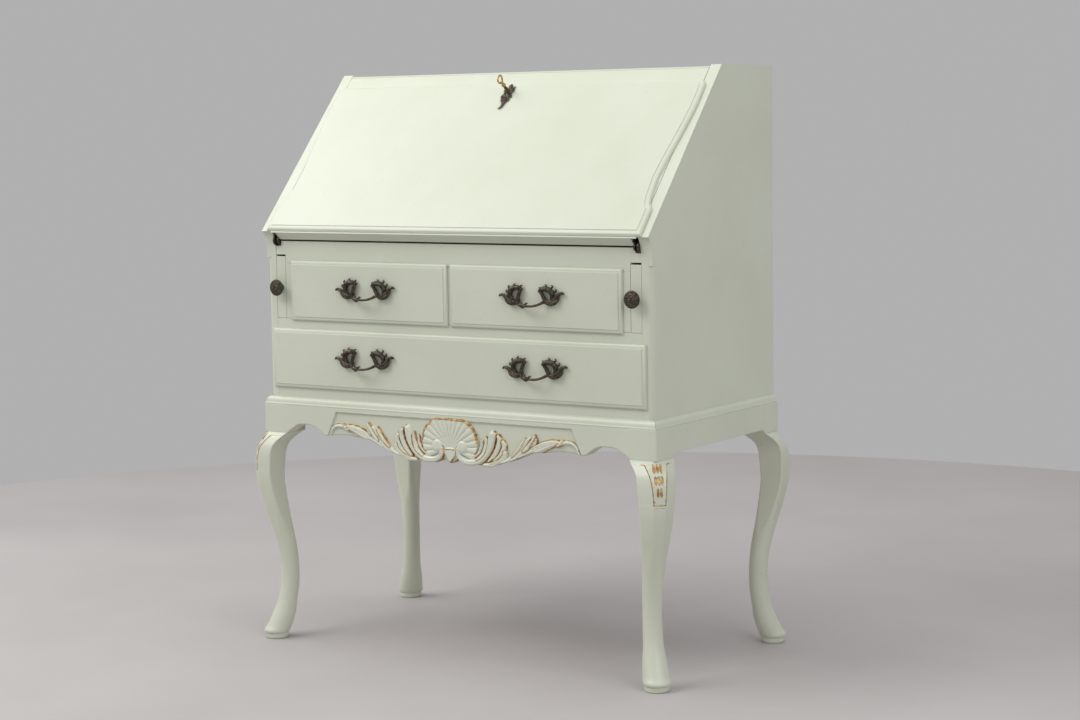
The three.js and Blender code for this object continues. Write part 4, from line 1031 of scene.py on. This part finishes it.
def studio():
    """Pale round floor, soft lights and an even grey surround."""
    rim = [(FLOOR_RADIUS * math.cos(a), FLOOR_RADIUS * math.sin(a), 0.0)
           for a in np.linspace(0, 2 * math.pi, 128, endpoint=False)]
    mesh = bpy.data.meshes.new("floor")
    mesh.from_pydata(rim, [], [tuple(range(len(rim)))])
    floor = bpy.data.objects.new("floor", mesh)
    bpy.context.scene.collection.objects.link(floor)
    material, tree, shader, coords = new_material("studio_floor")
    cloud = ramp(tree, noise(tree, coords, 1.6, 5),
                 [(0.3, (0.445, 0.420, 0.412)), (0.7, (0.500, 0.478, 0.468))])
    tree.links.new(cloud, shader.inputs["Base Color"])
    shader.inputs["Roughness"].default_value = 0.55
    mesh.materials.append(material)

    def area(name, place, target, size, power, colour=(1, 1, 1)):
        data = bpy.data.lights.new(name, "AREA")
        data.shape = "RECTANGLE"
        data.size, data.size_y = size
        data.energy = power
        data.color = colour
        light = bpy.data.objects.new(name, data)
        light.location = place
        light.rotation_mode = "QUATERNION"
        light.rotation_quaternion = (Vector(target) - Vector(place)).to_track_quat("-Z", "Y")
        bpy.context.scene.collection.objects.link(light)

    area("key_light", (-1.9, -2.3, 3.3), (0, 0, 0.7), (2.4, 1.8), 78, (1.0, 0.985, 0.96))
    area("window_light", (-2.5, -0.4, 2.6), (-0.3, -0.1, 0.85), (1.5, 1.5), 22)
    area("fill_light", (3.2, -1.6, 2.4), (0, 0, 0.5), (2.4, 2.0), 40, (0.98, 0.985, 1.0))
    area("top_light", (0.2, 0.2, 3.8), (0, 0, 0), (3.2, 2.6), 36)
    world = bpy.data.worlds.new("studio")
    world.use_nodes = True
    world.node_tree.nodes["Background"].inputs["Color"].default_value = (0.93, 0.925, 0.94, 1)
    world.node_tree.nodes["Background"].inputs["Strength"].default_value = 0.47
    bpy.context.scene.world = world


studio()


def camera():
    """Camera at the photograph's viewing angle, slightly turned down and rolled."""
    yaw, pitch, roll = -0.580, -0.103, -0.015
    forward = Vector((math.sin(yaw) * math.cos(pitch), math.cos(yaw) * math.cos(pitch), math.sin(pitch)))
    right = forward.cross(Vector((0, 0, 1))).normalized()
    up = right.cross(forward)
    rolled_right = math.cos(roll) * right + math.sin(roll) * up
    rolled_up = math.cos(roll) * up - math.sin(roll) * right
    data = bpy.data.cameras.new("camera")
    data.lens = 74.96
    data.sensor_width = 36.0
    made = bpy.data.objects.new("camera", data)
    turn = Matrix((rolled_right, rolled_up, -forward)).transposed()
    made.matrix_world = Matrix.Translation((2.1776, -3.2529, 0.9006)) @ turn.to_4x4()
    bpy.context.scene.collection.objects.link(made)
    bpy.context.scene.camera = made


camera()
bpy.context.scene.view_settings.view_transform = "Standard"
